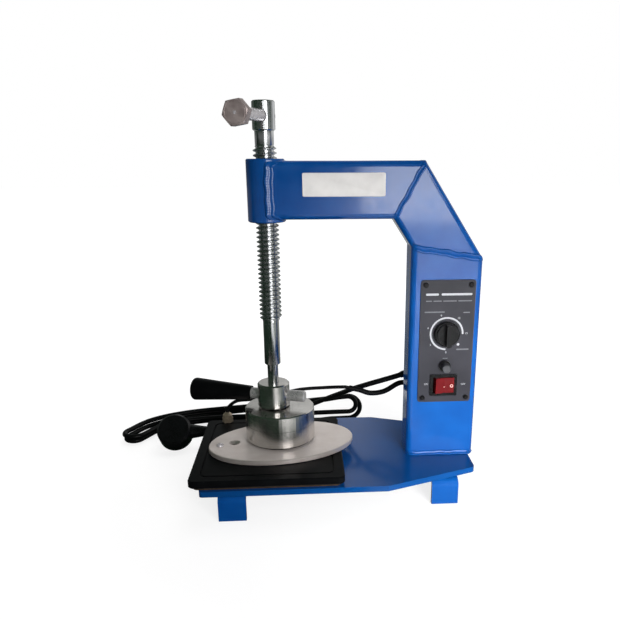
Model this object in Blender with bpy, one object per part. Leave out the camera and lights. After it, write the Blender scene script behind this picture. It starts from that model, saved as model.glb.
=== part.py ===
"""Screw-press tyre vulcanizer: a C-frame, a heated plate and a swivelling press head.

The frame is welded from rectangular tube. A lead screw runs through the boss at the arm's end
and pushes a loose press head down on an oval plate that lies on the heater.
Lengths are real sizes. X runs from the spindle to the column, -Y is the operator's side and
+Z is up. The origin is on the floor, in the middle of the machine's footprint.
"""
import math

import bmesh
import bpy
from mathutils import Matrix, Vector

MM = 0.001
DEG = math.pi / 180
X_AXIS = Vector((1, 0, 0))
Y_AXIS = Vector((0, 1, 0))
Z_AXIS = Vector((0, 0, 1))

# Fits that every piece shares
SEAT_GAP = 0.3 * MM
CUT_OVERRUN = 2 * MM
MERGE_DISTANCE = 0.001 * MM

# Foot straps, flat bar bent down at both ends
FOOT_HEIGHT = 30 * MM
FOOT_BAR_WIDTH = 30 * MM
FOOT_BAR_THICKNESS = 5 * MM
FOOT_BEND_RADIUS = 3 * MM
LEFT_FOOT_FROM_BOLTS = 31.8 * MM
LEFT_FOOT_INSET = 0.7 * MM
RIGHT_FOOT_X = 192 * MM
RIGHT_FOOT_INSET = 21.2 * MM

# Heater's place on the base, which is flush with it in front and shorter at the left
HEATER_SIZE = 168 * MM
HEATER_X = -5.8 * MM
HEATER_Y = -12.2 * MM
HEATER_OVERHANG = 11.4 * MM
HEATER_BOLT_INSET = 14 * MM
HEATER_LEFT = HEATER_X - HEATER_SIZE / 2
LEFT_FOOT_X = HEATER_LEFT + HEATER_BOLT_INSET + LEFT_FOOT_FROM_BOLTS

# Base plate
BASE_THICKNESS = 6.5 * MM
BASE_HALF_DEPTH = HEATER_SIZE / 2 - HEATER_Y
BASE_LEFT = HEATER_LEFT + HEATER_OVERHANG
LEFT_FOOT_REACH = BASE_HALF_DEPTH - LEFT_FOOT_INSET
RIGHT_FOOT_REACH = BASE_HALF_DEPTH - RIGHT_FOOT_INSET
BASE_SLANT_START = 125 * MM
BASE_RIGHT = 229 * MM
BASE_END_HALF_DEPTH = 58 * MM
BASE_CORNER_RADIUS = 4 * MM
BASE_TOP = FOOT_HEIGHT + BASE_THICKNESS

# Frame tubes
TUBE_DEPTH = 40 * MM
TUBE_WALL = 3 * MM
TUBE_CORNER_RADIUS = 6 * MM
TUBE_CORNER_STEPS = 4
COLUMN_LEFT = 155.6 * MM
COLUMN_WIDTH = 80 * MM
ARM_BOTTOM = 312 * MM
ARM_HEIGHT = 60 * MM
SHOULDER_X = 136 * MM
DIAGONAL_SLOPE = 57 * DEG
COLUMN_X = COLUMN_LEFT + COLUMN_WIDTH / 2
COLUMN_FRONT = -TUBE_DEPTH / 2
ARM_TOP = ARM_BOTTOM + ARM_HEIGHT
ARM_MIDDLE = ARM_BOTTOM + ARM_HEIGHT / 2

# Spindle boss and the threaded bush pressed into it
BOSS_RADIUS = 20.5 * MM
BOSS_ABOVE_ARM = 2.1 * MM
BOSS_BELOW_ARM = 3.2 * MM
BOSS_CHAMFER = 1.2 * MM
BUSH_WALL = 3.6 * MM
BUSH_INSET = 1 * MM

# Spindle, with its thread as the cylinder over the crests
THREAD_RADIUS = 12.5 * MM
THREAD_CLEARANCE = 0.4 * MM
THREAD_LENGTH = 187.7 * MM
SHANK_RADIUS = 9.2 * MM
SHANK_LENGTH = 52 * MM
TENON_RADIUS = 6.2 * MM
TENON_LENGTH = 22.8 * MM
TENON_SOCKET = 6 * MM
NECK_RADIUS = 10 * MM
NECK_LENGTH = 14.5 * MM
HEAD_RADIUS = 12 * MM
HEAD_LENGTH = 29.4 * MM
HEAD_CHAMFER = 1.2 * MM
HEAD_SPIGOT_RADIUS = 6 * MM
HEAD_SPIGOT_LENGTH = 6 * MM

# Tee bar through the spindle head, slid right out towards the operator
TEE_RADIUS = 6 * MM
TEE_HOLE_CLEARANCE = 0.5 * MM
TEE_REACH = 95 * MM
TEE_TURN = 12.4 * DEG
TEE_DROOP = 1.6 * DEG
TEE_HEX_ACROSS_FLATS = 22 * MM
TEE_HEX_LENGTH = 13 * MM
TEE_HEX_TURN = 10 * DEG
TEE_COLLAR_RADIUS = 7.8 * MM
TEE_COLLAR_LENGTH = 8 * MM
TEE_STOP_RADIUS = 8 * MM
TEE_STOP_LENGTH = 6 * MM

# Hub block under the spindle, with the lever through it
HUB_RADIUS = 18.5 * MM
HUB_HEIGHT = 28.8 * MM
HUB_CHAMFER = 1.5 * MM
HUB_GROOVE_DEPTH = 1 * MM
HUB_GROOVE_WIDTH = 1.6 * MM
HUB_GROOVE_HEIGHT = 4 * MM
HUB_CLEARANCE = 1.2 * MM
LEVER_HEIGHT_IN_HUB = 13.3 * MM
LEVER_RADIUS = 6.5 * MM
LEVER_CHAMFER = 1.2 * MM
LEVER_TURN = 15.2 * DEG
LEVER_SHORT_REACH = 38 * MM
LEVER_LONG_REACH = 101 * MM
GRIP_LENGTH = 74 * MM
GRIP_SMALL_RADIUS = 8.2 * MM
GRIP_LARGE_RADIUS = 13.5 * MM
GRIP_END_WALL = 9 * MM
GRIP_ROUNDING = 4 * MM

# Press head, which hangs loosely and a little towards the column
PRESS_RADIUS = 40.5 * MM
PRESS_SHIFT = 6.5 * MM
PRESS_FOOT_HEIGHT = 21.7 * MM
PRESS_CAP_HEIGHT = 17.7 * MM
PRESS_CHAMFER = 1.2 * MM
PRESS_UNDERCUT = 2.5 * MM
STUD_RADIUS = 5 * MM
COLLAR_RADIUS = 19 * MM
COLLAR_THICKNESS = 5 * MM
THRUST_WASHER_THICKNESS = 2 * MM
PRESS_RADIAL_PLAY = 0.4 * MM
PRESS_AXIAL_PLAY = 0.6 * MM
PRESS_SCREW_COUNT = 3
PRESS_SCREW_CIRCLE = 33.5 * MM
PRESS_SCREW_RADIUS = 2.5 * MM
PRESS_SCREW_HEAD_RADIUS = 4.25 * MM
PRESS_SCREW_HEAD_HEIGHT = 5 * MM
PRESS_SCREW_LENGTH = 25 * MM
PRESS_SCREW_SOCKET_RADIUS = 2.3 * MM
PRESS_SCREW_SOCKET_DEPTH = 2.5 * MM

# Heater: insulation board, element and plate
HEATER_CORNER_RADIUS = 7 * MM
HEATER_THICKNESS = 8.5 * MM
HEATER_EDGE_CHAMFER = 1.2 * MM
GROOVE_INSET = 12 * MM
GROOVE_WIDTH = 2 * MM
GROOVE_DEPTH = 1.4 * MM
INSULATION_INSET = 4 * MM
INSULATION_THICKNESS = 3 * MM
ELEMENT_RING_INSET = 28 * MM
ELEMENT_RING_SIZE = HEATER_SIZE - 2 * ELEMENT_RING_INSET
ELEMENT_RING_CORNER = 22 * MM
ELEMENT_WIDTH = 8 * MM
ELEMENT_HEIGHT = 3.6 * MM
ELEMENT_CLEARANCE = 0.3 * MM
HEATER_BOLT_RADIUS = 2.5 * MM
HEATER_BOLT_DEPTH = 5 * MM
HEATER_BOLT_HEAD_RADIUS = 4.5 * MM
HEATER_BOLT_HEAD_HEIGHT = 3.5 * MM
BOLT_HOLE_CLEARANCE = 0.4 * MM

# Brass gland that the heater lead enters, on the plate's rear margin
HEATER_GLAND_FROM_END = 25.8 * MM
HEATER_GLAND_X = HEATER_LEFT + HEATER_GLAND_FROM_END
HEATER_GLAND_INSET = 6.5 * MM
HEATER_GLAND_ACROSS_FLATS = 12 * MM
HEATER_GLAND_HEX_HEIGHT = 6 * MM
HEATER_GLAND_DOME_HEIGHT = 7 * MM
HEATER_GLAND_STEM_RADIUS = 3.5 * MM
HEATER_GLAND_STEM_DEPTH = 3 * MM

# Loose oval plate
OVAL_LONGER = 1.5 * MM
OVAL_HALF_LENGTH = HEATER_SIZE / 2 + OVAL_LONGER
OVAL_HALF_WIDTH = 54.4 * MM
OVAL_THICKNESS = 6 * MM
OVAL_X = 8 * MM
OVAL_Y = -8.5 * MM
OVAL_TURN = 11 * DEG
OVAL_CHAMFER = 0.8 * MM
OVAL_STEPS = 64
OVAL_SCREW_INSET = 22.5 * MM
OVAL_SCREW_X = OVAL_SCREW_INSET - OVAL_HALF_LENGTH
OVAL_SCREW_Y = -21.5 * MM
OVAL_SCREW_HEAD_RADIUS = 4.2 * MM
OVAL_SCREW_HEAD_HEIGHT = 3 * MM
OVAL_SCREW_RADIUS = 2.5 * MM
OVAL_SCREW_LENGTH = 5 * MM
OVAL_HOLE_INSET = 38.5 * MM
OVAL_HOLE_X = OVAL_HOLE_INSET - OVAL_HALF_LENGTH
OVAL_HOLE_Y = -13.7 * MM
OVAL_HOLE_RADIUS = 3.3 * MM
OVAL_SINK_RADIUS = 6.5 * MM
OVAL_SINK_DEPTH = 3 * MM

# Control panel on the column's front
PANEL_WIDTH = 61.5 * MM
PANEL_HEIGHT = 143 * MM
PANEL_THICKNESS = 1.5 * MM
PANEL_CORNER_RADIUS = 3 * MM
PANEL_X = 197.6 * MM
PANEL_Z = 174.7 * MM
PANEL_WINDOW_MARGIN = 9 * MM
PANEL_SCREW_INSET = 5.3 * MM
PANEL_SCREW_RADIUS = 1.5 * MM
PANEL_SCREW_HEAD_RADIUS = 3 * MM
PANEL_SCREW_HEAD_HEIGHT = 1.8 * MM
PANEL_SCREW_LENGTH = 4 * MM
PANEL_SCREW_RECESS_RADIUS = 1 * MM
PANEL_SCREW_RECESS_DEPTH = 0.9 * MM

# Timer behind the panel and its knob
TIMER_RISE = 10.4 * MM
TIMER_BODY_SIZE = 38 * MM
TIMER_BODY_DEPTH = 24 * MM
TIMER_BODY_CORNER = 3 * MM
TIMER_NECK_RADIUS = 5 * MM
TIMER_SHAFT_RADIUS = 3 * MM
TIMER_SHAFT_SOCKET = 8 * MM
TIMER_SHAFT_CLEARANCE = 0.3 * MM
KNOB_RADIUS = 14.5 * MM
KNOB_SKIRT_HEIGHT = 4 * MM
KNOB_DISC_RADIUS = 12.6 * MM
KNOB_DISC_HEIGHT = 7 * MM
KNOB_RIDGE_WIDTH = 5.5 * MM
KNOB_RIDGE_HEIGHT = 15 * MM
KNOB_EDGE = 0.8 * MM
KNOB_SHAFT_DEPTH = 6 * MM

# Fuse holder
FUSE_OFFSET_X = -0.7 * MM
FUSE_DROP = 27.7 * MM
FUSE_FLANGE_RADIUS = 6.7 * MM
FUSE_FLANGE_HEIGHT = 3 * MM
FUSE_BARREL_RADIUS = 5.5 * MM
FUSE_BARREL_LENGTH = 26 * MM
FUSE_BORE_RADIUS = 3.6 * MM
FUSE_CAP_RADIUS = 5 * MM
FUSE_CAP_HEIGHT = 9 * MM
FUSE_CAP_SPIGOT_LENGTH = 6 * MM
FUSE_RADIUS = 2.5 * MM
FUSE_LENGTH = 14 * MM
FUSE_PLAY = 0.3 * MM
FUSE_RIB_COUNT = 12

# Rocker switch
SWITCH_OFFSET_X = -1.4 * MM
SWITCH_DROP = 50.6 * MM
SWITCH_BEZEL_WIDTH = 31.2 * MM
SWITCH_BEZEL_HEIGHT = 25.5 * MM
SWITCH_BEZEL_PROUD = 2 * MM
SWITCH_BODY_WIDTH = 27 * MM
SWITCH_BODY_HEIGHT = 21.6 * MM
SWITCH_BODY_DEPTH = 20 * MM
SWITCH_WALL = 1.2 * MM
ROCKER_PLAY = 0.35 * MM
ROCKER_RISE = 4.5 * MM
ROCKER_PIVOT_DEPTH = 4 * MM
ROCKER_BACK = 6 * MM
ROCKER_TILT = 9 * DEG
ROCKER_VALLEY = 1.8 * MM
SWITCH_WELL_FLOOR = 3 * MM

# Cord glands on the column's back
GLAND_X = 180 * MM
MAINS_GLAND_Z = 124 * MM
LEAD_GLAND_Z = 99 * MM
GLAND_ACROSS_FLATS = 19 * MM
GLAND_HEX_LENGTH = 5 * MM
GLAND_DOME_LENGTH = 10 * MM
GLAND_STEM_RADIUS = 7.5 * MM
GLAND_LOCKNUT_LENGTH = 4 * MM
GLAND_HOLE_CLEARANCE = 0.4 * MM

# Cords, thicknesses and what is on them
MAINS_CORD_RADIUS = 3.4 * MM
LEAD_SLEEVE_RADIUS = 3.3 * MM
LEAD_RADIUS = 2.2 * MM
CORD_POINT_STEP_SHARE = 2.4
CORD_FLOOR_GAP = 0.25 * MM

# Hank of mains cord on the floor behind the base
HANK_TURNS = 23 / 12
HANK_START_SHARE = 0.1
HANK_POINTS_PER_TURN = 24
HANK_RUN_SHARE = 0.3
HANK_OUTER_OFFSET = 16.5 * MM
HANK_LANE_STEP = 8 * MM
HANK_LAYER_STEP = 7.5 * MM
HANK_RIGHT_SPREAD_SHARE = 1.15
HANK_RIGHT_TILT = 45 * DEG

# Plug, lying back on its pins
PLUG_X = -139 * MM
PLUG_FOOT_Y = 85 * MM
PLUG_RADIUS = 22.5 * MM
PLUG_THICKNESS = 22 * MM
PLUG_EDGE = 3 * MM
PLUG_PIN_RADIUS = 2.4 * MM
PLUG_PIN_LENGTH = 19 * MM
PLUG_PIN_SPACING = 19 * MM
PLUG_NECK_LENGTH = 22 * MM
PLUG_NECK_RADIUS = 9.5 * MM
PLUG_NECK_END_RADIUS = 6 * MM

ROUND_STEPS = 32
SMALL_ROUND_STEPS = 16


def clear_scene():
    """Remove what the file opened with."""
    for old in list(bpy.data.objects):
        bpy.data.objects.remove(old, do_unlink=True)


def material(name, red, green, blue, roughness, metallic=0.0):
    """A Principled material of one colour."""
    made = bpy.data.materials.new(name)
    made.use_nodes = True
    shader = made.node_tree.nodes["Principled BSDF"]
    shader.inputs["Base Color"].default_value = (red, green, blue, 1)
    shader.inputs["Roughness"].default_value = roughness
    shader.inputs["Metallic"].default_value = metallic
    made.diffuse_color = (red, green, blue, 1)
    return made


def empty(name, parent=None, location=(0, 0, 0), rotation=(0, 0, 0)):
    """A named frame that pieces hang from."""
    made = bpy.data.objects.new(name, None)
    bpy.context.scene.collection.objects.link(made)
    made.parent = parent
    made.location = location
    made.rotation_euler = rotation
    return made


def piece(name, shape, look, parent=None, location=(0, 0, 0), rotation=(0, 0, 0)):
    """Turn a bmesh into a named object."""
    bmesh.ops.remove_doubles(shape, verts=shape.verts, dist=MERGE_DISTANCE)
    bmesh.ops.recalc_face_normals(shape, faces=shape.faces)
    mesh = bpy.data.meshes.new(name)
    shape.to_mesh(mesh)
    shape.free()
    mesh.shade_smooth()
    mesh.set_sharp_from_angle(angle=30 * DEG)
    made = bpy.data.objects.new(name, mesh)
    bpy.context.scene.collection.objects.link(made)
    made.parent = parent
    made.location = location
    made.rotation_euler = rotation
    if look is not None:
        mesh.materials.append(look)
    return made


def guide(name, shape, parent=None, location=(0, 0, 0), rotation=(0, 0, 0)):
    """A cutter or an added shape: drawn as wire and left out of the model."""
    made = piece(name, shape, None, parent, location, rotation)
    made.hide_render = True
    made.display_type = 'WIRE'
    return made


def boolean(target, tool, operation):
    """Combine target with tool."""
    change = target.modifiers.new(tool.name, 'BOOLEAN')
    change.operation = operation
    change.object = tool
    change.solver = 'EXACT'


def bevelled(target, width, angle=40 * DEG, segments=1):
    """Bevel the sharp edges of a piece."""
    change = target.modifiers.new("edges", 'BEVEL')
    change.width = width
    change.segments = segments
    change.limit_method = 'ANGLE'
    change.angle_limit = angle


def prism(outline, low, high):
    """A solid from a flat outline, from low to high along Z."""
    shape = bmesh.new()
    lower = [shape.verts.new((x, y, low)) for x, y in outline]
    upper = [shape.verts.new((x, y, high)) for x, y in outline]
    count = len(outline)
    for index in range(count):
        following = (index + 1) % count
        shape.faces.new((lower[index], lower[following], upper[following], upper[index]))
    shape.faces.new(lower[::-1])
    shape.faces.new(upper)
    return shape


def block(width, depth, low, high):
    """A box centred on Z, from low to high."""
    half_width = width / 2
    half_depth = depth / 2
    outline = [(-half_width, -half_depth), (half_width, -half_depth),
               (half_width, half_depth), (-half_width, half_depth)]
    return prism(outline, low, high)


def rounded_rectangle(width, height, radius, steps=TUBE_CORNER_STEPS):
    """Outline of a rectangle with round corners, anticlockwise."""
    outline = []
    corners = ((1, 1, 0), (-1, 1, 90), (-1, -1, 180), (1, -1, 270))
    for side_x, side_y, start in corners:
        centre_x = side_x * (width / 2 - radius)
        centre_y = side_y * (height / 2 - radius)
        for step in range(steps + 1):
            angle = (start + 90 * step / steps) * DEG
            outline.append((centre_x + radius * math.cos(angle), centre_y + radius * math.sin(angle)))
    return outline


def regular_polygon(radius, count, turn=0.0):
    """Outline of a regular polygon, by its corner radius."""
    angles = [turn + 2 * math.pi * index / count for index in range(count)]
    return [(radius * math.cos(angle), radius * math.sin(angle)) for angle in angles]


def hexagon(across_flats, turn=0.0):
    """Outline of a hexagon, by its size across flats."""
    return regular_polygon(across_flats / 2 / math.cos(math.pi / 6), 6, turn)


def turned(profile, steps=ROUND_STEPS):
    """Revolve a closed profile of (radius, height) points about Z."""
    shape = bmesh.new()
    rings = []
    for radius, height in profile:
        if radius < MERGE_DISTANCE:
            rings.append([shape.verts.new((0, 0, height))])
        else:
            ring = []
            for index in range(steps):
                angle = 2 * math.pi * index / steps
                ring.append(shape.verts.new((radius * math.cos(angle), radius * math.sin(angle), height)))
            rings.append(ring)
    for first, second in zip(rings, rings[1:] + rings[:1]):
        if len(first) == 1 and len(second) == 1:
            continue
        for index in range(steps):
            following = (index + 1) % steps
            if len(first) == 1:
                shape.faces.new((first[0], second[following], second[index]))
            elif len(second) == 1:
                shape.faces.new((first[index], first[following], second[0]))
            else:
                shape.faces.new((first[index], first[following], second[following], second[index]))
    return shape


def rod(radius, low, high, chamfer=0.0, steps=ROUND_STEPS):
    """A round bar along Z with chamfered ends."""
    if chamfer:
        profile = [(0, low), (radius - chamfer, low), (radius, low + chamfer),
                   (radius, high - chamfer), (radius - chamfer, high), (0, high)]
    else:
        profile = [(0, low), (radius, low), (radius, high), (0, high)]
    return turned(profile, steps)


def ring(outer, inner, low, high, steps=ROUND_STEPS):
    """A plain round bush along Z."""
    return turned([(inner, low), (outer, low), (outer, high), (inner, high)], steps)


def smooth_route(points, step, straight_ends=True):
    """Even points along a smooth curve through the route's own points."""
    route = [Vector(point) for point in points]
    spans = range(1, len(route) - 2) if straight_ends else range(len(route) - 1)
    padded = [2 * route[0] - route[1]] + route + [2 * route[-1] - route[-2]]
    fine = []
    pieces_per_span = 24
    for index in spans:
        before, start, end, after = padded[index:index + 4]
        for part in range(pieces_per_span):
            share = part / pieces_per_span
            straight = 2 * start
            slope = (end - before) * share
            curve = (2 * before - 5 * start + 4 * end - after) * share ** 2
            twist = (3 * start - before - 3 * end + after) * share ** 3
            fine.append((straight + slope + curve + twist) / 2)
    fine.append(route[-2] if straight_ends else route[-1])
    lengths = [0.0]
    for first, second in zip(fine, fine[1:]):
        lengths.append(lengths[-1] + (second - first).length)
    count = max(2, round(lengths[-1] / step))
    even = []
    index = 0
    for part in range(count + 1):
        wanted = lengths[-1] * part / count
        while index < len(fine) - 2 and lengths[index + 1] < wanted:
            index += 1
        span = lengths[index + 1] - lengths[index]
        share = (wanted - lengths[index]) / span if span else 0.0
        even.append(fine[index].lerp(fine[index + 1], min(1.0, share)))
    return [route[0]] + even + [route[-1]] if straight_ends else even


def cord(name, points, radius, look, parent, resolution=2):
    """A round cord along the points."""
    curve = bpy.data.curves.new(name, 'CURVE')
    curve.dimensions = '3D'
    curve.bevel_depth = radius
    curve.bevel_resolution = resolution
    curve.use_fill_caps = True
    spline = curve.splines.new('POLY')
    spline.points.add(len(points) - 1)
    for target, point in zip(spline.points, points):
        target.co = (*point, 1)
    curve.materials.append(look)
    made = bpy.data.objects.new(name, curve)
    bpy.context.scene.collection.objects.link(made)
    made.parent = parent
    return made


def lever_left_extent():
    """How far the lever's grip reaches to the left of the spindle."""
    rim = LEVER_LONG_REACH * math.cos(LEVER_TURN) + (GRIP_LARGE_RADIUS - GRIP_ROUNDING) * math.sin(LEVER_TURN)
    body = LEVER_LONG_REACH - GRIP_ROUNDING
    widest = body * math.cos(LEVER_TURN) + GRIP_LARGE_RADIUS * math.sin(LEVER_TURN)
    return max(rim, widest)


# Heights of the stack on the spindle's axis
INSULATION_BOTTOM = BASE_TOP + SEAT_GAP
HEATER_BOTTOM = INSULATION_BOTTOM + INSULATION_THICKNESS + SEAT_GAP
HEATER_TOP = HEATER_BOTTOM + HEATER_THICKNESS
OVAL_BOTTOM = HEATER_TOP + SEAT_GAP
OVAL_TOP = OVAL_BOTTOM + OVAL_THICKNESS
PRESS_BOTTOM = OVAL_TOP + SEAT_GAP
PRESS_FOOT_TOP = PRESS_BOTTOM + PRESS_FOOT_HEIGHT
CAP_BOTTOM = PRESS_FOOT_TOP + SEAT_GAP
CAP_TOP = CAP_BOTTOM + PRESS_CAP_HEIGHT
HUB_BOTTOM = CAP_TOP + HUB_CLEARANCE
HUB_TOP = HUB_BOTTOM + HUB_HEIGHT
LEVER_Z = HUB_BOTTOM + LEVER_HEIGHT_IN_HUB
SHANK_BOTTOM = HUB_TOP + TENON_LENGTH
THREAD_BOTTOM = SHANK_BOTTOM + SHANK_LENGTH
THREAD_TOP = THREAD_BOTTOM + THREAD_LENGTH
HEAD_BOTTOM = THREAD_TOP + NECK_LENGTH
HEAD_TOP = HEAD_BOTTOM + HEAD_LENGTH
TEE_Z = HEAD_BOTTOM + HEAD_LENGTH / 2
WASHER_BOTTOM = PRESS_FOOT_TOP + SEAT_GAP
COLLAR_BOTTOM = WASHER_BOTTOM + THRUST_WASHER_THICKNESS + SEAT_GAP
COLLAR_TOP = COLLAR_BOTTOM + COLLAR_THICKNESS
SPINDLE_X = -(COLUMN_LEFT + COLUMN_WIDTH - lever_left_extent()) / 2


def mitre_planes():
    """The cut planes at the shoulder and the knee, as (point, normal) pairs."""
    slope = math.tan(DIAGONAL_SLOPE)
    shoulder_inner = Vector((SHOULDER_X, 0, ARM_BOTTOM))
    shoulder_outer = Vector((SHOULDER_X + ARM_HEIGHT * math.tan(DIAGONAL_SLOPE / 2), 0, ARM_TOP))
    knee_inner = Vector((COLUMN_LEFT, 0, ARM_BOTTOM - (COLUMN_LEFT - SHOULDER_X) * slope))
    column_right = COLUMN_LEFT + COLUMN_WIDTH
    knee_outer = Vector((column_right, 0, ARM_TOP - (column_right - shoulder_outer.x) * slope))
    shoulder_normal = (shoulder_outer - shoulder_inner).cross(Y_AXIS).normalized()
    knee_normal = (knee_outer - knee_inner).cross(Y_AXIS).normalized()
    return (shoulder_inner, shoulder_outer, shoulder_normal), (knee_inner, knee_outer, knee_normal)


def tube_between(centre, direction, width, start, end):
    """A rectangular tube along direction, cut by the planes start and end."""
    across = Y_AXIS.cross(direction).normalized()
    shape = bmesh.new()
    loops = []
    wall = TUBE_WALL
    sections = ((width, TUBE_DEPTH, TUBE_CORNER_RADIUS),
                (width - 2 * wall, TUBE_DEPTH - 2 * wall, TUBE_CORNER_RADIUS - wall))
    for section_width, section_depth, radius in sections:
        for point, normal in (start, end):
            loop = []
            for offset, depth in rounded_rectangle(section_width, section_depth, radius):
                base = centre + across * offset + Y_AXIS * depth
                distance = (point - base).dot(normal) / direction.dot(normal)
                loop.append(shape.verts.new(base + direction * distance))
            loops.append(loop)
    outer_start, outer_end, inner_start, inner_end = loops
    count = len(outer_start)
    for index in range(count):
        following = (index + 1) % count
        pairs = ((outer_start, outer_end), (outer_end, inner_end),
                 (inner_end, inner_start), (inner_start, outer_start))
        for first, second in pairs:
            shape.faces.new((first[index], first[following], second[following], second[index]))
    return shape


def make_base(parent, look):
    """Base plate with its slanted front and back edges."""
    straight = [(BASE_LEFT, -BASE_HALF_DEPTH), (BASE_SLANT_START, -BASE_HALF_DEPTH),
                (BASE_RIGHT, -BASE_END_HALF_DEPTH), (BASE_RIGHT, BASE_END_HALF_DEPTH),
                (BASE_SLANT_START, BASE_HALF_DEPTH), (BASE_LEFT, BASE_HALF_DEPTH)]
    shape = prism(straight, FOOT_HEIGHT, BASE_TOP)
    upright = [edge for edge in shape.edges if abs(edge.verts[0].co.z - edge.verts[1].co.z) > SEAT_GAP]
    corners = [edge for edge in upright if edge.verts[0].co.x != BASE_SLANT_START]
    bmesh.ops.bevel(shape, geom=corners, offset=BASE_CORNER_RADIUS, segments=4, profile=0.5,
                    affect='EDGES', material=-1)
    plate = piece("base_plate", shape, look, parent)
    for index, (x, y) in enumerate(heater_bolt_places()):
        hole = guide(f"base_bolt_hole_{index}",
                     rod(HEATER_BOLT_RADIUS + BOLT_HOLE_CLEARANCE, FOOT_HEIGHT - CUT_OVERRUN,
                         BASE_TOP + CUT_OVERRUN, steps=SMALL_ROUND_STEPS), parent, (x, y, 0))
        boolean(plate, hole, 'DIFFERENCE')
    return plate


def make_foot_strap(name, x, reach, parent, look):
    """Flat bar bent down at both ends, welded under the base plate."""
    top = FOOT_HEIGHT - SEAT_GAP
    outer = FOOT_BEND_RADIUS + FOOT_BAR_THICKNESS
    half = []
    for step in range(TUBE_CORNER_STEPS + 1):
        angle = 90 * DEG * step / TUBE_CORNER_STEPS
        half.append((reach - outer + outer * math.cos(angle), top - outer + outer * math.sin(angle)))
    inner_half = []
    for step in range(TUBE_CORNER_STEPS + 1):
        angle = 90 * DEG * (1 - step / TUBE_CORNER_STEPS)
        inner_half.append((reach - outer + FOOT_BEND_RADIUS * math.cos(angle),
                           top - outer + FOOT_BEND_RADIUS * math.sin(angle)))
    right_side = [(reach, 0)] + half
    left_side = [(-y, z) for y, z in reversed(right_side)]
    under_left = [(-y, z) for y, z in reversed(inner_half)]
    outline = right_side + left_side
    outline += [(-reach + FOOT_BAR_THICKNESS, 0)] + under_left
    outline += inner_half + [(reach - FOOT_BAR_THICKNESS, 0)]
    shape = prism(outline, -FOOT_BAR_WIDTH / 2, FOOT_BAR_WIDTH / 2)
    bmesh.ops.rotate(shape, verts=shape.verts, matrix=Matrix(((0, 0, 1), (1, 0, 0), (0, 1, 0))))
    return piece(name, shape, look, parent, (x, 0, 0))


def make_frame_tubes(parent, look):
    """Column, diagonal and arm, mitred to each other."""
    shoulder, knee = mitre_planes()
    shoulder_inner, shoulder_outer, shoulder_normal = shoulder
    knee_inner, knee_outer, knee_normal = knee
    half_gap = SEAT_GAP / 2

    foot = (Vector((0, 0, BASE_TOP + SEAT_GAP)), Z_AXIS)
    below_knee = (knee_inner - Z_AXIS * half_gap, knee_normal)
    above_knee = (knee_inner + Z_AXIS * half_gap, knee_normal)
    column = piece("column_tube",
                   tube_between(Vector((COLUMN_X, 0, 0)), Z_AXIS, COLUMN_WIDTH, foot, below_knee),
                   look, parent)
    cut_panel_window(column, parent)

    diagonal_direction = Vector((-math.cos(DIAGONAL_SLOPE), 0, math.sin(DIAGONAL_SLOPE)))
    diagonal_middle = (shoulder_inner + shoulder_outer) / 2
    below_shoulder = (shoulder_inner + X_AXIS * half_gap, shoulder_normal)
    before_shoulder = (shoulder_inner - X_AXIS * half_gap, shoulder_normal)
    piece("diagonal_tube",
          tube_between(diagonal_middle, diagonal_direction, ARM_HEIGHT, above_knee, below_shoulder),
          look, parent)

    arm = piece("arm_tube",
                tube_between(Vector((0, 0, ARM_MIDDLE)), X_AXIS, ARM_HEIGHT,
                             (Vector((0, 0, 0)), X_AXIS), before_shoulder),
                look, parent)
    cope = guide("arm_cope",
                 rod(BOSS_RADIUS + SEAT_GAP, ARM_BOTTOM - CUT_OVERRUN, ARM_TOP + CUT_OVERRUN,
                     steps=2 * ROUND_STEPS), parent)
    boolean(arm, cope, 'DIFFERENCE')


def cut_panel_window(column, parent):
    """Window behind the control panel and the two cord holes in the back."""
    window = guide("panel_window",
                   block(PANEL_WIDTH - 2 * PANEL_WINDOW_MARGIN, TUBE_WALL + 2 * CUT_OVERRUN,
                         PANEL_Z - PANEL_HEIGHT / 2 + PANEL_WINDOW_MARGIN,
                         PANEL_Z + PANEL_HEIGHT / 2 - PANEL_WINDOW_MARGIN),
                   parent, (PANEL_X, COLUMN_FRONT + TUBE_WALL / 2, 0))
    boolean(column, window, 'DIFFERENCE')
    for index, z in enumerate((MAINS_GLAND_Z, LEAD_GLAND_Z)):
        hole = guide(f"gland_hole_{index}",
                     rod(GLAND_STEM_RADIUS + GLAND_HOLE_CLEARANCE, -CUT_OVERRUN, TUBE_WALL + CUT_OVERRUN),
                     parent, (GLAND_X, -COLUMN_FRONT, z), (90 * DEG, 0, 0))
        boolean(column, hole, 'DIFFERENCE')


def make_boss(parent, frame_look, bush_look):
    """Spindle boss welded to the arm, and the bush pressed into it."""
    low = ARM_BOTTOM - BOSS_BELOW_ARM
    high = ARM_TOP + BOSS_ABOVE_ARM
    bore = THREAD_RADIUS + THREAD_CLEARANCE
    bush_radius = bore + BUSH_WALL
    inner = bush_radius + SEAT_GAP
    edge = BOSS_CHAMFER
    profile = [(inner, low), (BOSS_RADIUS - edge, low), (BOSS_RADIUS, low + edge),
               (BOSS_RADIUS, high - edge), (BOSS_RADIUS - edge, high), (inner, high)]
    piece("spindle_boss", turned(profile, 2 * ROUND_STEPS), frame_look, parent)
    piece("threaded_bush", ring(bush_radius, bore, low + BUSH_INSET, high - BUSH_INSET), bush_look, parent)


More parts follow.
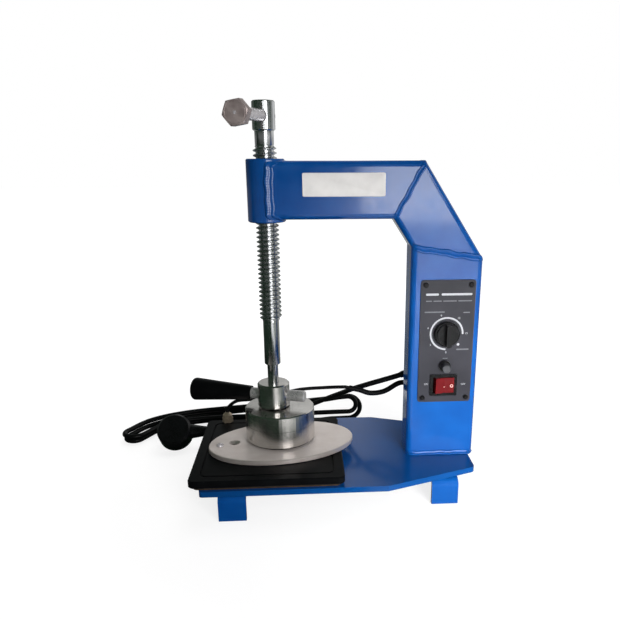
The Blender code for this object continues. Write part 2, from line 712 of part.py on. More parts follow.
def make_spindle(body, look):
    """Screw spindle: thread, shank and the tenon that enters the hub."""
    profile = [(0, HUB_TOP - TENON_SOCKET), (TENON_RADIUS, HUB_TOP - TENON_SOCKET),
               (TENON_RADIUS, SHANK_BOTTOM), (SHANK_RADIUS, SHANK_BOTTOM),
               (SHANK_RADIUS, THREAD_BOTTOM), (THREAD_RADIUS, THREAD_BOTTOM),
               (THREAD_RADIUS, THREAD_TOP), (NECK_RADIUS, THREAD_TOP),
               (NECK_RADIUS, HEAD_BOTTOM - SEAT_GAP), (HEAD_SPIGOT_RADIUS, HEAD_BOTTOM - SEAT_GAP),
               (HEAD_SPIGOT_RADIUS, HEAD_BOTTOM + HEAD_SPIGOT_LENGTH - SEAT_GAP),
               (0, HEAD_BOTTOM + HEAD_SPIGOT_LENGTH - SEAT_GAP)]
    piece("spindle", turned(profile), look, body)


def make_spindle_head(body, look):
    """Head with the cross hole that the tee bar slides in."""
    inner = HEAD_SPIGOT_RADIUS + SEAT_GAP
    edge = HEAD_CHAMFER
    profile = [(inner, HEAD_BOTTOM), (HEAD_RADIUS - edge, HEAD_BOTTOM), (HEAD_RADIUS, HEAD_BOTTOM + edge),
               (HEAD_RADIUS, HEAD_TOP - edge), (HEAD_RADIUS - edge, HEAD_TOP), (0, HEAD_TOP),
               (0, HEAD_BOTTOM + HEAD_SPIGOT_LENGTH), (inner, HEAD_BOTTOM + HEAD_SPIGOT_LENGTH)]
    head = piece("spindle_head", turned(profile), look, body)
    bore = guide("tee_hole", rod(TEE_RADIUS + TEE_HOLE_CLEARANCE, -2 * HEAD_RADIUS, 2 * HEAD_RADIUS),
                 body, (0, 0, TEE_Z), tee_rotation())
    boolean(head, bore, 'DIFFERENCE')


def tee_rotation():
    """Turns +Z to the way that the tee bar sticks out, drooping a little."""
    return (90 * DEG + TEE_DROOP, 0, -TEE_TURN)


def make_tee_bar(body, bar_look, hex_look):
    """Tee bar with its hexagonal end in front and the stop behind the head."""
    tee = empty("tee_bar_axis", body, (0, 0, TEE_Z), tee_rotation())
    hex_back = TEE_REACH - TEE_HEX_LENGTH
    collar_back = hex_back - TEE_COLLAR_LENGTH
    stop_front = -(HEAD_RADIUS + 2 * SEAT_GAP)
    stop_back = stop_front - TEE_STOP_LENGTH
    bore = TEE_RADIUS + SEAT_GAP
    piece("tee_bar", rod(TEE_RADIUS, stop_back, TEE_REACH - TEE_HEX_LENGTH / 2, steps=ROUND_STEPS),
          bar_look, tee)
    hex_end = piece("tee_bar_hex_end",
                    prism(hexagon(TEE_HEX_ACROSS_FLATS, TEE_HEX_TURN), hex_back, TEE_REACH), hex_look, tee)
    round_corners = guide("hex_end_rounding", turned_hex_envelope(hex_back, TEE_REACH), tee)
    boolean(hex_end, round_corners, 'INTERSECT')
    collar = guide("hex_end_collar", rod(TEE_COLLAR_RADIUS, collar_back, hex_back + TEE_HEX_LENGTH / 4), tee)
    boolean(hex_end, collar, 'UNION')
    pocket = guide("hex_end_pocket",
                   rod(bore, collar_back - CUT_OVERRUN, TEE_REACH - TEE_HEX_LENGTH / 2 + SEAT_GAP), tee)
    boolean(hex_end, pocket, 'DIFFERENCE')
    piece("tee_bar_stop", ring(TEE_STOP_RADIUS, bore, stop_back, stop_front), bar_look, tee)


def turned_hex_envelope(low, high):
    """Chamfer circle of a hexagonal head."""
    flat = TEE_HEX_ACROSS_FLATS / 2
    corner = flat / math.cos(math.pi / 6)
    drop = (corner - flat) / math.sqrt(3)
    reach = corner + CUT_OVERRUN
    fall = drop * (reach - flat) / (corner - flat)
    profile = [(0, low - CUT_OVERRUN), (reach, low - CUT_OVERRUN), (reach, high - fall), (flat, high),
               (0, high)]
    return turned(profile, 2 * ROUND_STEPS)


def make_hub(body, look, rod_look, grip_look):
    """Hub block, with the stud that holds the press head, and the lever through it."""
    stud = STUD_RADIUS
    edge = HUB_CHAMFER
    groove_low = HUB_BOTTOM + HUB_GROOVE_HEIGHT
    groove_high = groove_low + HUB_GROOVE_WIDTH
    groove = HUB_RADIUS - HUB_GROOVE_DEPTH
    socket = TENON_RADIUS + SEAT_GAP
    socket_bottom = HUB_TOP - TENON_SOCKET - SEAT_GAP
    profile = [(0, COLLAR_BOTTOM), (COLLAR_RADIUS, COLLAR_BOTTOM), (COLLAR_RADIUS, COLLAR_TOP),
               (stud, COLLAR_TOP), (stud, HUB_BOTTOM), (HUB_RADIUS - edge, HUB_BOTTOM),
               (HUB_RADIUS, HUB_BOTTOM + edge), (HUB_RADIUS, groove_low), (groove, groove_low),
               (groove, groove_high), (HUB_RADIUS, groove_high), (HUB_RADIUS, HUB_TOP - edge),
               (HUB_RADIUS - edge, HUB_TOP), (socket, HUB_TOP), (socket, socket_bottom),
               (0, socket_bottom)]
    hub = piece("hub_block", turned(profile, 2 * ROUND_STEPS), look, body)
    lever = empty("lever_axis", body, (0, 0, LEVER_Z), (0, -90 * DEG, -LEVER_TURN))
    bore = guide("lever_hole", rod(LEVER_RADIUS + SEAT_GAP, -2 * HUB_RADIUS, 2 * HUB_RADIUS), lever)
    boolean(hub, bore, 'DIFFERENCE')
    rod_end = LEVER_LONG_REACH - GRIP_END_WALL
    piece("lever_rod", rod(LEVER_RADIUS, -LEVER_SHORT_REACH, rod_end, LEVER_CHAMFER), rod_look, lever)
    make_grip(lever, grip_look, rod_end)


def make_grip(lever, look, rod_end):
    """Tapered grip pushed over the lever rod."""
    near = LEVER_LONG_REACH - GRIP_LENGTH
    bore = LEVER_RADIUS + SEAT_GAP
    profile = [(0, rod_end + SEAT_GAP), (bore, rod_end + SEAT_GAP), (bore, near),
               (GRIP_SMALL_RADIUS, near)]
    rounding = GRIP_ROUNDING
    for step in range(TUBE_CORNER_STEPS + 1):
        angle = 90 * DEG * step / TUBE_CORNER_STEPS
        profile.append((GRIP_LARGE_RADIUS - rounding + rounding * math.cos(angle),
                        LEVER_LONG_REACH - rounding + rounding * math.sin(angle)))
    profile.append((0, LEVER_LONG_REACH))
    piece("lever_grip", turned(profile), look, lever)


def make_press_head(body, look, washer_look, screw_look):
    """Two-layer press head that hangs on the hub's collar."""
    bore = STUD_RADIUS + PRESS_SHIFT + PRESS_RADIAL_PLAY
    recess = COLLAR_RADIUS + PRESS_SHIFT + PRESS_RADIAL_PLAY
    ceiling = COLLAR_TOP + PRESS_AXIAL_PLAY
    edge = PRESS_CHAMFER
    radius = PRESS_RADIUS
    place = (PRESS_SHIFT, 0, 0)
    cap = piece("press_cap",
                turned([(recess, CAP_BOTTOM), (radius, CAP_BOTTOM), (radius, CAP_TOP - edge),
                        (radius - edge, CAP_TOP), (bore, CAP_TOP), (bore, ceiling), (recess, ceiling)],
                       2 * ROUND_STEPS), look, body, place)
    foot = piece("press_foot",
                 turned([(0, PRESS_BOTTOM), (radius - PRESS_UNDERCUT, PRESS_BOTTOM),
                         (radius, PRESS_BOTTOM + PRESS_UNDERCUT), (radius, PRESS_FOOT_TOP),
                         (0, PRESS_FOOT_TOP)], 2 * ROUND_STEPS), look, body, place)
    piece("thrust_washer",
          ring(COLLAR_RADIUS, STUD_RADIUS, WASHER_BOTTOM, WASHER_BOTTOM + THRUST_WASHER_THICKNESS),
          washer_look, body)
    head_top = PRESS_BOTTOM + PRESS_SCREW_HEAD_HEIGHT
    for index in range(PRESS_SCREW_COUNT):
        angle = 2 * math.pi * (index + 1 / 2) / PRESS_SCREW_COUNT
        spot = (PRESS_SHIFT + PRESS_SCREW_CIRCLE * math.cos(angle), PRESS_SCREW_CIRCLE * math.sin(angle), 0)
        clear = BOLT_HOLE_CLEARANCE
        counterbore = guide(f"press_counterbore_{index}", turned(
            [(0, PRESS_BOTTOM - CUT_OVERRUN), (PRESS_SCREW_HEAD_RADIUS + clear, PRESS_BOTTOM - CUT_OVERRUN),
             (PRESS_SCREW_HEAD_RADIUS + clear, head_top + 2 * SEAT_GAP),
             (PRESS_SCREW_RADIUS + clear, head_top + 2 * SEAT_GAP),
             (PRESS_SCREW_RADIUS + clear, PRESS_BOTTOM + PRESS_SCREW_LENGTH + 2 * SEAT_GAP),
             (0, PRESS_BOTTOM + PRESS_SCREW_LENGTH + 2 * SEAT_GAP)], SMALL_ROUND_STEPS), body, spot)
        boolean(foot, counterbore, 'DIFFERENCE')
        boolean(cap, counterbore, 'DIFFERENCE')
        low = PRESS_BOTTOM + SEAT_GAP
        socket = PRESS_SCREW_SOCKET_RADIUS
        piece(f"press_screw_{index + 1}", turned(
            [(0, low + PRESS_SCREW_SOCKET_DEPTH), (socket, low + PRESS_SCREW_SOCKET_DEPTH), (socket, low),
             (PRESS_SCREW_HEAD_RADIUS, low), (PRESS_SCREW_HEAD_RADIUS, head_top),
             (PRESS_SCREW_RADIUS, head_top), (PRESS_SCREW_RADIUS, PRESS_BOTTOM + PRESS_SCREW_LENGTH),
             (0, PRESS_BOTTOM + PRESS_SCREW_LENGTH)], SMALL_ROUND_STEPS), screw_look, body, spot)


def rectangle_ring(size, corner, width, low, high):
    """A square ring with round corners, centred on Z."""
    shape = bmesh.new()
    outer = rounded_rectangle(size + width, size + width, corner + width / 2)
    inner = rounded_rectangle(size - width, size - width, corner - width / 2)
    loops = []
    for outline, height in ((outer, low), (outer, high), (inner, high), (inner, low)):
        loops.append([shape.verts.new((x, y, height)) for x, y in outline])
    count = len(outer)
    for first, second in zip(loops, loops[1:] + loops[:1]):
        for index in range(count):
            following = (index + 1) % count
            shape.faces.new((first[index], first[following], second[following], second[index]))
    return shape


def heater_bolt_places():
    """Where the four bolts hold the heater plate to the base."""
    reach_x = HEATER_SIZE / 2 - HEATER_BOLT_INSET
    reach_y = HEATER_SIZE / 2 - HEATER_BOLT_INSET
    nearest_left = BASE_LEFT + HEATER_BOLT_INSET - HEATER_X
    sides = ((-1, -1), (1, -1), (1, 1), (-1, 1))
    return [(HEATER_X + max(side_x * reach_x, nearest_left), HEATER_Y + side_y * reach_y)
            for side_x, side_y in sides]


def make_heater(parent, plate_look, board_look, element_look, bolt_look, brass):
    """Heater plate with its groove, element, insulation board, bolts and gland."""
    place = (HEATER_X, HEATER_Y, 0)
    outline = rounded_rectangle(HEATER_SIZE, HEATER_SIZE, HEATER_CORNER_RADIUS)
    plate = piece("heater_plate", prism(outline, HEATER_BOTTOM, HEATER_TOP), plate_look, parent, place)
    bevelled(plate, HEATER_EDGE_CHAMFER, 60 * DEG)
    groove_size = HEATER_SIZE - 2 * GROOVE_INSET
    groove = guide("heater_groove",
                   rectangle_ring(groove_size, HEATER_CORNER_RADIUS, GROOVE_WIDTH,
                                  HEATER_TOP - GROOVE_DEPTH, HEATER_TOP + CUT_OVERRUN), parent, place)
    boolean(plate, groove, 'DIFFERENCE')
    room = 2 * ELEMENT_CLEARANCE
    pocket = guide("element_pocket",
                   rectangle_ring(ELEMENT_RING_SIZE, ELEMENT_RING_CORNER, ELEMENT_WIDTH + room,
                                  HEATER_BOTTOM - CUT_OVERRUN, HEATER_BOTTOM + ELEMENT_HEIGHT + room),
                   parent, place)
    boolean(plate, pocket, 'DIFFERENCE')
    piece("heater_element",
          rectangle_ring(ELEMENT_RING_SIZE, ELEMENT_RING_CORNER, ELEMENT_WIDTH,
                         HEATER_BOTTOM, HEATER_BOTTOM + ELEMENT_HEIGHT), element_look, parent, place)
    board_size = HEATER_SIZE - 2 * INSULATION_INSET
    board = piece("insulation_board",
                  prism(rounded_rectangle(board_size, board_size, HEATER_CORNER_RADIUS),
                        INSULATION_BOTTOM, INSULATION_BOTTOM + INSULATION_THICKNESS),
                  board_look, parent, place)
    bolt_top = HEATER_BOTTOM + HEATER_BOLT_DEPTH
    head_top = FOOT_HEIGHT - SEAT_GAP
    for index, (x, y) in enumerate(heater_bolt_places()):
        hole = guide(f"heater_bolt_hole_{index}",
                     rod(HEATER_BOLT_RADIUS + BOLT_HOLE_CLEARANCE, BASE_TOP - CUT_OVERRUN,
                         bolt_top + SEAT_GAP, steps=SMALL_ROUND_STEPS), parent, (x, y, 0))
        boolean(board, hole, 'DIFFERENCE')
        boolean(plate, hole, 'DIFFERENCE')
        bolt = piece(f"heater_bolt_{index + 1}",
                     prism(hexagon(2 * HEATER_BOLT_HEAD_RADIUS), head_top - HEATER_BOLT_HEAD_HEIGHT, head_top),
                     bolt_look, parent, (x, y, 0))
        stem = guide(f"heater_bolt_stem_{index}",
                     rod(HEATER_BOLT_RADIUS, head_top - HEATER_BOLT_HEAD_HEIGHT / 2, bolt_top,
                         steps=SMALL_ROUND_STEPS), parent, (x, y, 0))
        boolean(bolt, stem, 'UNION')
    make_heater_gland(parent, plate, brass)


def make_heater_gland(parent, plate, brass):
    """Brass gland standing on the heater plate's rear margin."""
    y = HEATER_Y + HEATER_SIZE / 2 - HEATER_GLAND_INSET
    place = (HEATER_GLAND_X, y, 0)
    low = HEATER_TOP + SEAT_GAP
    hex_top = low + HEATER_GLAND_HEX_HEIGHT
    gland = piece("heater_gland", prism(hexagon(HEATER_GLAND_ACROSS_FLATS), low, hex_top), brass, parent, place)
    dome_radius = HEATER_GLAND_ACROSS_FLATS / 2
    mouth = LEAD_RADIUS + SEAT_GAP
    stem_low = HEATER_TOP - HEATER_GLAND_STEM_DEPTH
    dome = guide("heater_gland_dome", turned(
        [(0, stem_low), (HEATER_GLAND_STEM_RADIUS, stem_low), (HEATER_GLAND_STEM_RADIUS, low),
         (dome_radius, low), (dome_radius, hex_top + HEATER_GLAND_DOME_HEIGHT / 2),
         (mouth + SEAT_GAP, hex_top + HEATER_GLAND_DOME_HEIGHT), (0, hex_top + HEATER_GLAND_DOME_HEIGHT)],
        SMALL_ROUND_STEPS), parent, place)
    boolean(gland, dome, 'UNION')
    hole = guide("heater_gland_hole",
                 rod(HEATER_GLAND_STEM_RADIUS + BOLT_HOLE_CLEARANCE, stem_low - SEAT_GAP,
                     HEATER_TOP + CUT_OVERRUN, steps=SMALL_ROUND_STEPS), parent, place)
    boolean(plate, hole, 'DIFFERENCE')


def make_oval_plate(body, look, screw_look):
    """Loose oval plate with its domed screw and countersunk hole."""
    outline = []
    for step in range(OVAL_STEPS):
        angle = 2 * math.pi * step / OVAL_STEPS
        outline.append((OVAL_HALF_LENGTH * math.cos(angle), OVAL_HALF_WIDTH * math.sin(angle)))
    plate = piece("oval_plate", prism(outline, OVAL_BOTTOM, OVAL_TOP), look, body,
                  (OVAL_X, OVAL_Y, 0), (0, 0, OVAL_TURN))
    bevelled(plate, OVAL_CHAMFER, 60 * DEG)
    sink = guide("oval_countersink", turned(
        [(0, OVAL_BOTTOM - CUT_OVERRUN), (OVAL_HOLE_RADIUS, OVAL_BOTTOM - CUT_OVERRUN),
         (OVAL_HOLE_RADIUS, OVAL_TOP - OVAL_SINK_DEPTH), (OVAL_SINK_RADIUS, OVAL_TOP),
         (OVAL_SINK_RADIUS, OVAL_TOP + CUT_OVERRUN), (0, OVAL_TOP + CUT_OVERRUN)], SMALL_ROUND_STEPS),
        body, (OVAL_HOLE_X, OVAL_HOLE_Y, 0))
    boolean(plate, sink, 'DIFFERENCE')
    spot = (OVAL_SCREW_X, OVAL_SCREW_Y, 0)
    tapped = guide("oval_tapped_hole",
                   rod(OVAL_SCREW_RADIUS + SEAT_GAP, OVAL_BOTTOM - CUT_OVERRUN, OVAL_TOP + CUT_OVERRUN,
                       steps=SMALL_ROUND_STEPS), body, spot)
    boolean(plate, tapped, 'DIFFERENCE')
    seat = OVAL_TOP + SEAT_GAP
    profile = [(0, OVAL_TOP - OVAL_SCREW_LENGTH), (OVAL_SCREW_RADIUS, OVAL_TOP - OVAL_SCREW_LENGTH),
               (OVAL_SCREW_RADIUS, seat)]
    for step in range(TUBE_CORNER_STEPS):
        angle = 90 * DEG * step / TUBE_CORNER_STEPS
        profile.append((OVAL_SCREW_HEAD_RADIUS * math.cos(angle),
                        seat + OVAL_SCREW_HEAD_HEIGHT * math.sin(angle)))
    profile.append((0, seat + OVAL_SCREW_HEAD_HEIGHT))
    piece("oval_plate_screw", turned(profile, SMALL_ROUND_STEPS), screw_look, body, spot)


def facing_out():
    """Turns +Z to the operator, with +Y up."""
    return (90 * DEG, 0, 0)


def make_panel(parent, look, screw_look):
    """Control panel plate and its four corner screws."""
    back = COLUMN_FRONT - SEAT_GAP
    face = empty("panel_face", parent, (PANEL_X, back, PANEL_Z), facing_out())
    outline = rounded_rectangle(PANEL_WIDTH, PANEL_HEIGHT, PANEL_CORNER_RADIUS)
    panel = piece("control_panel", prism(outline, 0, PANEL_THICKNESS), look, face)
    overrun = PANEL_THICKNESS + CUT_OVERRUN
    timer_hole = guide("timer_hole", rod(TIMER_NECK_RADIUS + SEAT_GAP, -CUT_OVERRUN, overrun), face,
                       (0, TIMER_RISE, 0))
    fuse_hole = guide("fuse_hole", rod(FUSE_BARREL_RADIUS + SEAT_GAP, -CUT_OVERRUN, overrun), face,
                      (FUSE_OFFSET_X, -FUSE_DROP, 0))
    switch_hole = guide("switch_hole", block(SWITCH_BODY_WIDTH + 2 * SEAT_GAP, SWITCH_BODY_HEIGHT + 2 * SEAT_GAP,
                                             -CUT_OVERRUN, overrun), face,
                        (SWITCH_OFFSET_X, -SWITCH_DROP, 0))
    for cutter in (timer_hole, fuse_hole, switch_hole):
        boolean(panel, cutter, 'DIFFERENCE')
    column = bpy.data.objects["column_tube"]
    reach_x = PANEL_WIDTH / 2 - PANEL_SCREW_INSET
    reach_y = PANEL_HEIGHT / 2 - PANEL_SCREW_INSET
    for index, (side_x, side_y) in enumerate(((-1, 1), (1, 1), (1, -1), (-1, -1))):
        spot = (side_x * reach_x, side_y * reach_y, 0)
        hole = guide(f"panel_screw_hole_{index}",
                     rod(PANEL_SCREW_RADIUS + SEAT_GAP, -PANEL_SCREW_LENGTH - CUT_OVERRUN, overrun,
                         steps=SMALL_ROUND_STEPS), face, spot)
        boolean(panel, hole, 'DIFFERENCE')
        boolean(column, hole, 'DIFFERENCE')
        make_panel_screw(f"panel_screw_{index + 1}", face, spot, screw_look)
    return face


def make_panel_screw(name, face, spot, look):
    """Pan-head screw with a round recess."""
    seat = PANEL_THICKNESS + SEAT_GAP
    top = seat + PANEL_SCREW_HEAD_HEIGHT
    half = PANEL_SCREW_HEAD_HEIGHT / 2
    recess = PANEL_SCREW_RECESS_RADIUS
    profile = [(0, -PANEL_SCREW_LENGTH), (PANEL_SCREW_RADIUS, -PANEL_SCREW_LENGTH),
               (PANEL_SCREW_RADIUS, seat), (PANEL_SCREW_HEAD_RADIUS, seat),
               (PANEL_SCREW_HEAD_RADIUS, seat + half), (PANEL_SCREW_HEAD_RADIUS - half, top),
               (recess, top), (recess, top - PANEL_SCREW_RECESS_DEPTH), (0, top - PANEL_SCREW_RECESS_DEPTH)]
    piece(name, turned(profile, SMALL_ROUND_STEPS), look, face, spot)


def make_timer(face, body_look, metal_look, knob_look):
    """Timer behind the panel, with its shaft and ridged knob."""
    place = (0, TIMER_RISE, 0)
    back = -TUBE_WALL - SEAT_GAP
    body = piece("timer_body",
                 prism(rounded_rectangle(TIMER_BODY_SIZE, TIMER_BODY_SIZE, TIMER_BODY_CORNER),
                       back - TIMER_BODY_DEPTH, back), body_look, face, place)
    neck_top = PANEL_THICKNESS
    neck = guide("timer_neck", rod(TIMER_NECK_RADIUS, back - SEAT_GAP, neck_top, steps=SMALL_ROUND_STEPS),
                 face, place)
    boolean(body, neck, 'UNION')
    shaft_low = neck_top - TIMER_SHAFT_SOCKET
    clear = TIMER_SHAFT_CLEARANCE
    socket = guide("timer_socket",
                   rod(TIMER_SHAFT_RADIUS + clear, shaft_low - clear, neck_top + CUT_OVERRUN,
                       steps=ROUND_STEPS), face, place)
    boolean(body, socket, 'DIFFERENCE')
    knob_low = PANEL_THICKNESS + 2 * SEAT_GAP
    shaft_top = knob_low + KNOB_SHAFT_DEPTH
    piece("timer_shaft", rod(TIMER_SHAFT_RADIUS, shaft_low, shaft_top), metal_look, face, place)
    make_knob(face, place, knob_low, shaft_top, knob_look)


def make_knob(face, place, low, shaft_top, look):
    """Skirted knob with a bar ridge that points down at rest."""
    bore = TIMER_SHAFT_RADIUS + SEAT_GAP
    skirt_top = low + KNOB_SKIRT_HEIGHT
    disc_top = low + KNOB_DISC_HEIGHT
    edge = KNOB_EDGE
    ridge_top = low + KNOB_RIDGE_HEIGHT
    profile = [(0, low), (KNOB_RADIUS, low), (KNOB_RADIUS, skirt_top - edge),
               (KNOB_RADIUS - edge, skirt_top), (KNOB_DISC_RADIUS, skirt_top),
               (KNOB_DISC_RADIUS - edge, disc_top), (0, disc_top)]
    knob = piece("timer_knob", turned(profile), look, face, place)
    ridge = guide("knob_ridge",
                  prism(rounded_rectangle(KNOB_RIDGE_WIDTH, 2 * KNOB_DISC_RADIUS, edge, steps=2),
                        skirt_top - edge, ridge_top), face, place)
    boolean(knob, ridge, 'UNION')
    shaft_room = guide("knob_shaft_room", rod(bore, low - CUT_OVERRUN, shaft_top + SEAT_GAP), face, place)
    boolean(knob, shaft_room, 'DIFFERENCE')


def make_fuse_holder(face, look, glass_look):
    """Panel fuse holder, its cap and the fuse inside."""
    place = (FUSE_OFFSET_X, -FUSE_DROP, 0)
    seat = PANEL_THICKNESS + SEAT_GAP
    flange_top = seat + FUSE_FLANGE_HEIGHT
    barrel_low = seat - FUSE_BARREL_LENGTH
    bore = FUSE_BORE_RADIUS
    floor = barrel_low + FUSE_FLANGE_HEIGHT
    profile = [(0, barrel_low), (FUSE_BARREL_RADIUS, barrel_low), (FUSE_BARREL_RADIUS, seat),
               (FUSE_FLANGE_RADIUS, seat), (FUSE_FLANGE_RADIUS, flange_top), (bore, flange_top),
               (bore, floor), (0, floor)]
    piece("fuse_holder", turned(profile), look, face, place)
    cap_low = flange_top + SEAT_GAP
    cap_top = cap_low + FUSE_CAP_HEIGHT
    spigot = bore - FUSE_PLAY
    spigot_low = flange_top - FUSE_CAP_SPIGOT_LENGTH
    edge = KNOB_EDGE
    cap = piece("fuse_cap", turned(
        [(0, spigot_low), (spigot, spigot_low), (spigot, cap_low), (FUSE_CAP_RADIUS, cap_low),
         (FUSE_CAP_RADIUS, cap_top - edge), (FUSE_CAP_RADIUS - edge, cap_top), (0, cap_top)],
        2 * FUSE_RIB_COUNT), look, face, place)
    fuse_top = spigot_low - SEAT_GAP
    piece("fuse_cartridge", rod(FUSE_RADIUS, fuse_top - FUSE_LENGTH, fuse_top, steps=SMALL_ROUND_STEPS),
          glass_look, face, place)
    return cap


def make_switch(face, look, rocker_look, tab_look):
    """Rocker switch: bezel and body in one, and the rocker, pressed in at OFF."""
    place = (SWITCH_OFFSET_X, -SWITCH_DROP, 0)
    seat = PANEL_THICKNESS + SEAT_GAP
    top = seat + SWITCH_BEZEL_PROUD
    housing = piece("switch_housing",
                    prism(rounded_rectangle(SWITCH_BEZEL_WIDTH, SWITCH_BEZEL_HEIGHT, SWITCH_WALL, steps=2),
                          seat, top), look, face, place)
    body = guide("switch_body", block(SWITCH_BODY_WIDTH, SWITCH_BODY_HEIGHT, seat - SWITCH_BODY_DEPTH,
                                      seat + SWITCH_BEZEL_PROUD / 2), face, place)
    boolean(housing, body, 'UNION')
    well_width = SWITCH_BODY_WIDTH - 2 * SWITCH_WALL
    well_height = SWITCH_BODY_HEIGHT - 2 * SWITCH_WALL
    well_floor = seat - SWITCH_BODY_DEPTH + SWITCH_WELL_FLOOR
    well = guide("switch_well", block(well_width, well_height, well_floor, top + CUT_OVERRUN), face, place)
    boolean(housing, well, 'DIFFERENCE')
    pivot_z = seat - ROCKER_PIVOT_DEPTH
    pivot = empty("rocker_pivot", face, (place[0], place[1], pivot_z), (0, ROCKER_TILT, 0))
    in_well = ROCKER_PIVOT_DEPTH + SWITCH_BEZEL_PROUD
    half = (well_width / 2 - ROCKER_PLAY - in_well * math.sin(ROCKER_TILT)) / math.cos(ROCKER_TILT)
    reach = ROCKER_RISE + ROCKER_PIVOT_DEPTH
    outline = [(-half, -ROCKER_BACK / 2), (0, -ROCKER_BACK), (half, -ROCKER_BACK / 2), (half, reach),
               (0, reach - ROCKER_VALLEY), (-half, reach)]
    half_height = well_height / 2 - ROCKER_PLAY
    shape = prism(outline, -half_height, half_height)
    bmesh.ops.rotate(shape, verts=shape.verts, matrix=Matrix.Rotation(90 * DEG, 3, 'X'))
    rocker = piece("rocker_button", shape, rocker_look, pivot)
    bevelled(rocker, KNOB_EDGE / 2, 60 * DEG)


def make_gland(name, z, cord_radius, parent, look):
    """Cord gland through the column's back, nut outside and locknut inside."""
    outer_face = -COLUMN_FRONT
    axis = empty(f"{name}_axis", parent, (GLAND_X, outer_face, z), (-90 * DEG, 0, 0))
    low = SEAT_GAP
    hex_top = low + GLAND_HEX_LENGTH
    inner = -TUBE_WALL - SEAT_GAP
    body = piece(name, prism(hexagon(GLAND_ACROSS_FLATS), low, hex_top), look, axis)
    mouth = cord_radius + SEAT_GAP
    dome = GLAND_ACROSS_FLATS / 2
    top = hex_top + GLAND_DOME_LENGTH
    nut_low = inner - GLAND_LOCKNUT_LENGTH
    outer = guide(f"{name}_dome", turned(
        [(0, nut_low), (GLAND_STEM_RADIUS, nut_low), (GLAND_STEM_RADIUS, low), (dome, low),
         (dome, hex_top + GLAND_DOME_LENGTH / 2), (mouth + SWITCH_WALL, top), (0, top)], ROUND_STEPS), axis)
    boolean(body, outer, 'UNION')
    nut = guide(f"{name}_locknut", prism(hexagon(GLAND_ACROSS_FLATS), nut_low, inner), axis)
    boolean(body, nut, 'UNION')


def route_out_of_gland(z, cord_radius):
    """First two points of a cord that leaves a gland square to its face."""
    start = -COLUMN_FRONT + SEAT_GAP + GLAND_HEX_LENGTH + GLAND_DOME_LENGTH + SEAT_GAP
    return [(GLAND_X, start, z), (GLAND_X, start + 2 * cord_radius, z)]


def hank_spine():
    """Middle line of the hank, from its left end to its right end."""
    left_to_right = [(-200, 124), (-178, 158), (-138, 179), (-88, 188), (-30, 191), (40, 190), (100, 187)]
    route = [(x * MM, y * MM, 0) for x, y in left_to_right]
    return smooth_route(route, MAINS_CORD_RADIUS, straight_ends=False)


def hank_point(spine, share, offset, layer):
    """A point of a loop: share of the turn, offset from the spine, and layer height."""
    share = share % 1.0
    run = HANK_RUN_SHARE
    turn = 1 / 2 - run
    if share < run:
        along, angle = 1 - share / run, 270 * DEG
    elif share < 1 / 2:
        along, angle = 0.0, 270 * DEG - 180 * DEG * (share - run) / turn
    elif share < 1 / 2 + run:
        along, angle = (share - 1 / 2) / run, 90 * DEG
    else:
        along, angle = 1.0, 90 * DEG - 180 * DEG * (share - 1 / 2 - run) / turn
    position = along * (len(spine) - 1)
    index = min(int(position), len(spine) - 2)
    point = spine[index].lerp(spine[index + 1], position - index)
    forward = (spine[index + 1] - spine[index]).normalized()
    side = Z_AXIS.cross(forward)
    tilt = HANK_RIGHT_TILT * along ** 3
    spread = 1 + (HANK_RIGHT_SPREAD_SHARE - 1) * along
    across = side * math.cos(tilt) + Z_AXIS * math.sin(tilt)
    above = Z_AXIS * math.cos(tilt) - side * math.sin(tilt)
    reach = offset * spread
    lowest = HANK_OUTER_OFFSET * spread * math.sin(tilt) + MAINS_CORD_RADIUS + CORD_FLOOR_GAP
    return point + Z_AXIS * lowest + across * reach * math.sin(angle) + forward * reach * math.cos(angle) + above * layer


def hank_points():
    """One tube: it spirals in on the upper layer, steps down and spirals out on the floor."""
    spine = hank_spine()
    count = round(HANK_TURNS * HANK_POINTS_PER_TURN)
    middle = HANK_TURNS / 2
    points = []
    for index in range(count + 1):
        turns = HANK_TURNS * index / count
        inward = middle - abs(turns - middle)
        offset = HANK_OUTER_OFFSET - HANK_LANE_STEP * inward
        climb = min(1.0, max(0.0, 2 * (turns - middle) + 1 / 2))
        layer = HANK_LAYER_STEP * (1 - climb * climb * (3 - 2 * climb))
        points.append(hank_point(spine, HANK_START_SHARE + turns, offset, layer))
    return points


def least_gap(points, diameter, neighbours):
    """Least free distance between stretches of one tube that are not next to each other."""
    least = math.inf
    for first in range(len(points) - 1):
        for second in range(first + neighbours, len(points) - 1):
            for share in (0.0, 1 / 3, 2 / 3):
                probe = points[first].lerp(points[first + 1], share)
                start = points[second]
                span = points[second + 1] - start
                along = max(0.0, min(1.0, (probe - start).dot(span) / span.length_squared))
                least = min(least, (probe - start - span * along).length)
    return least - diameter


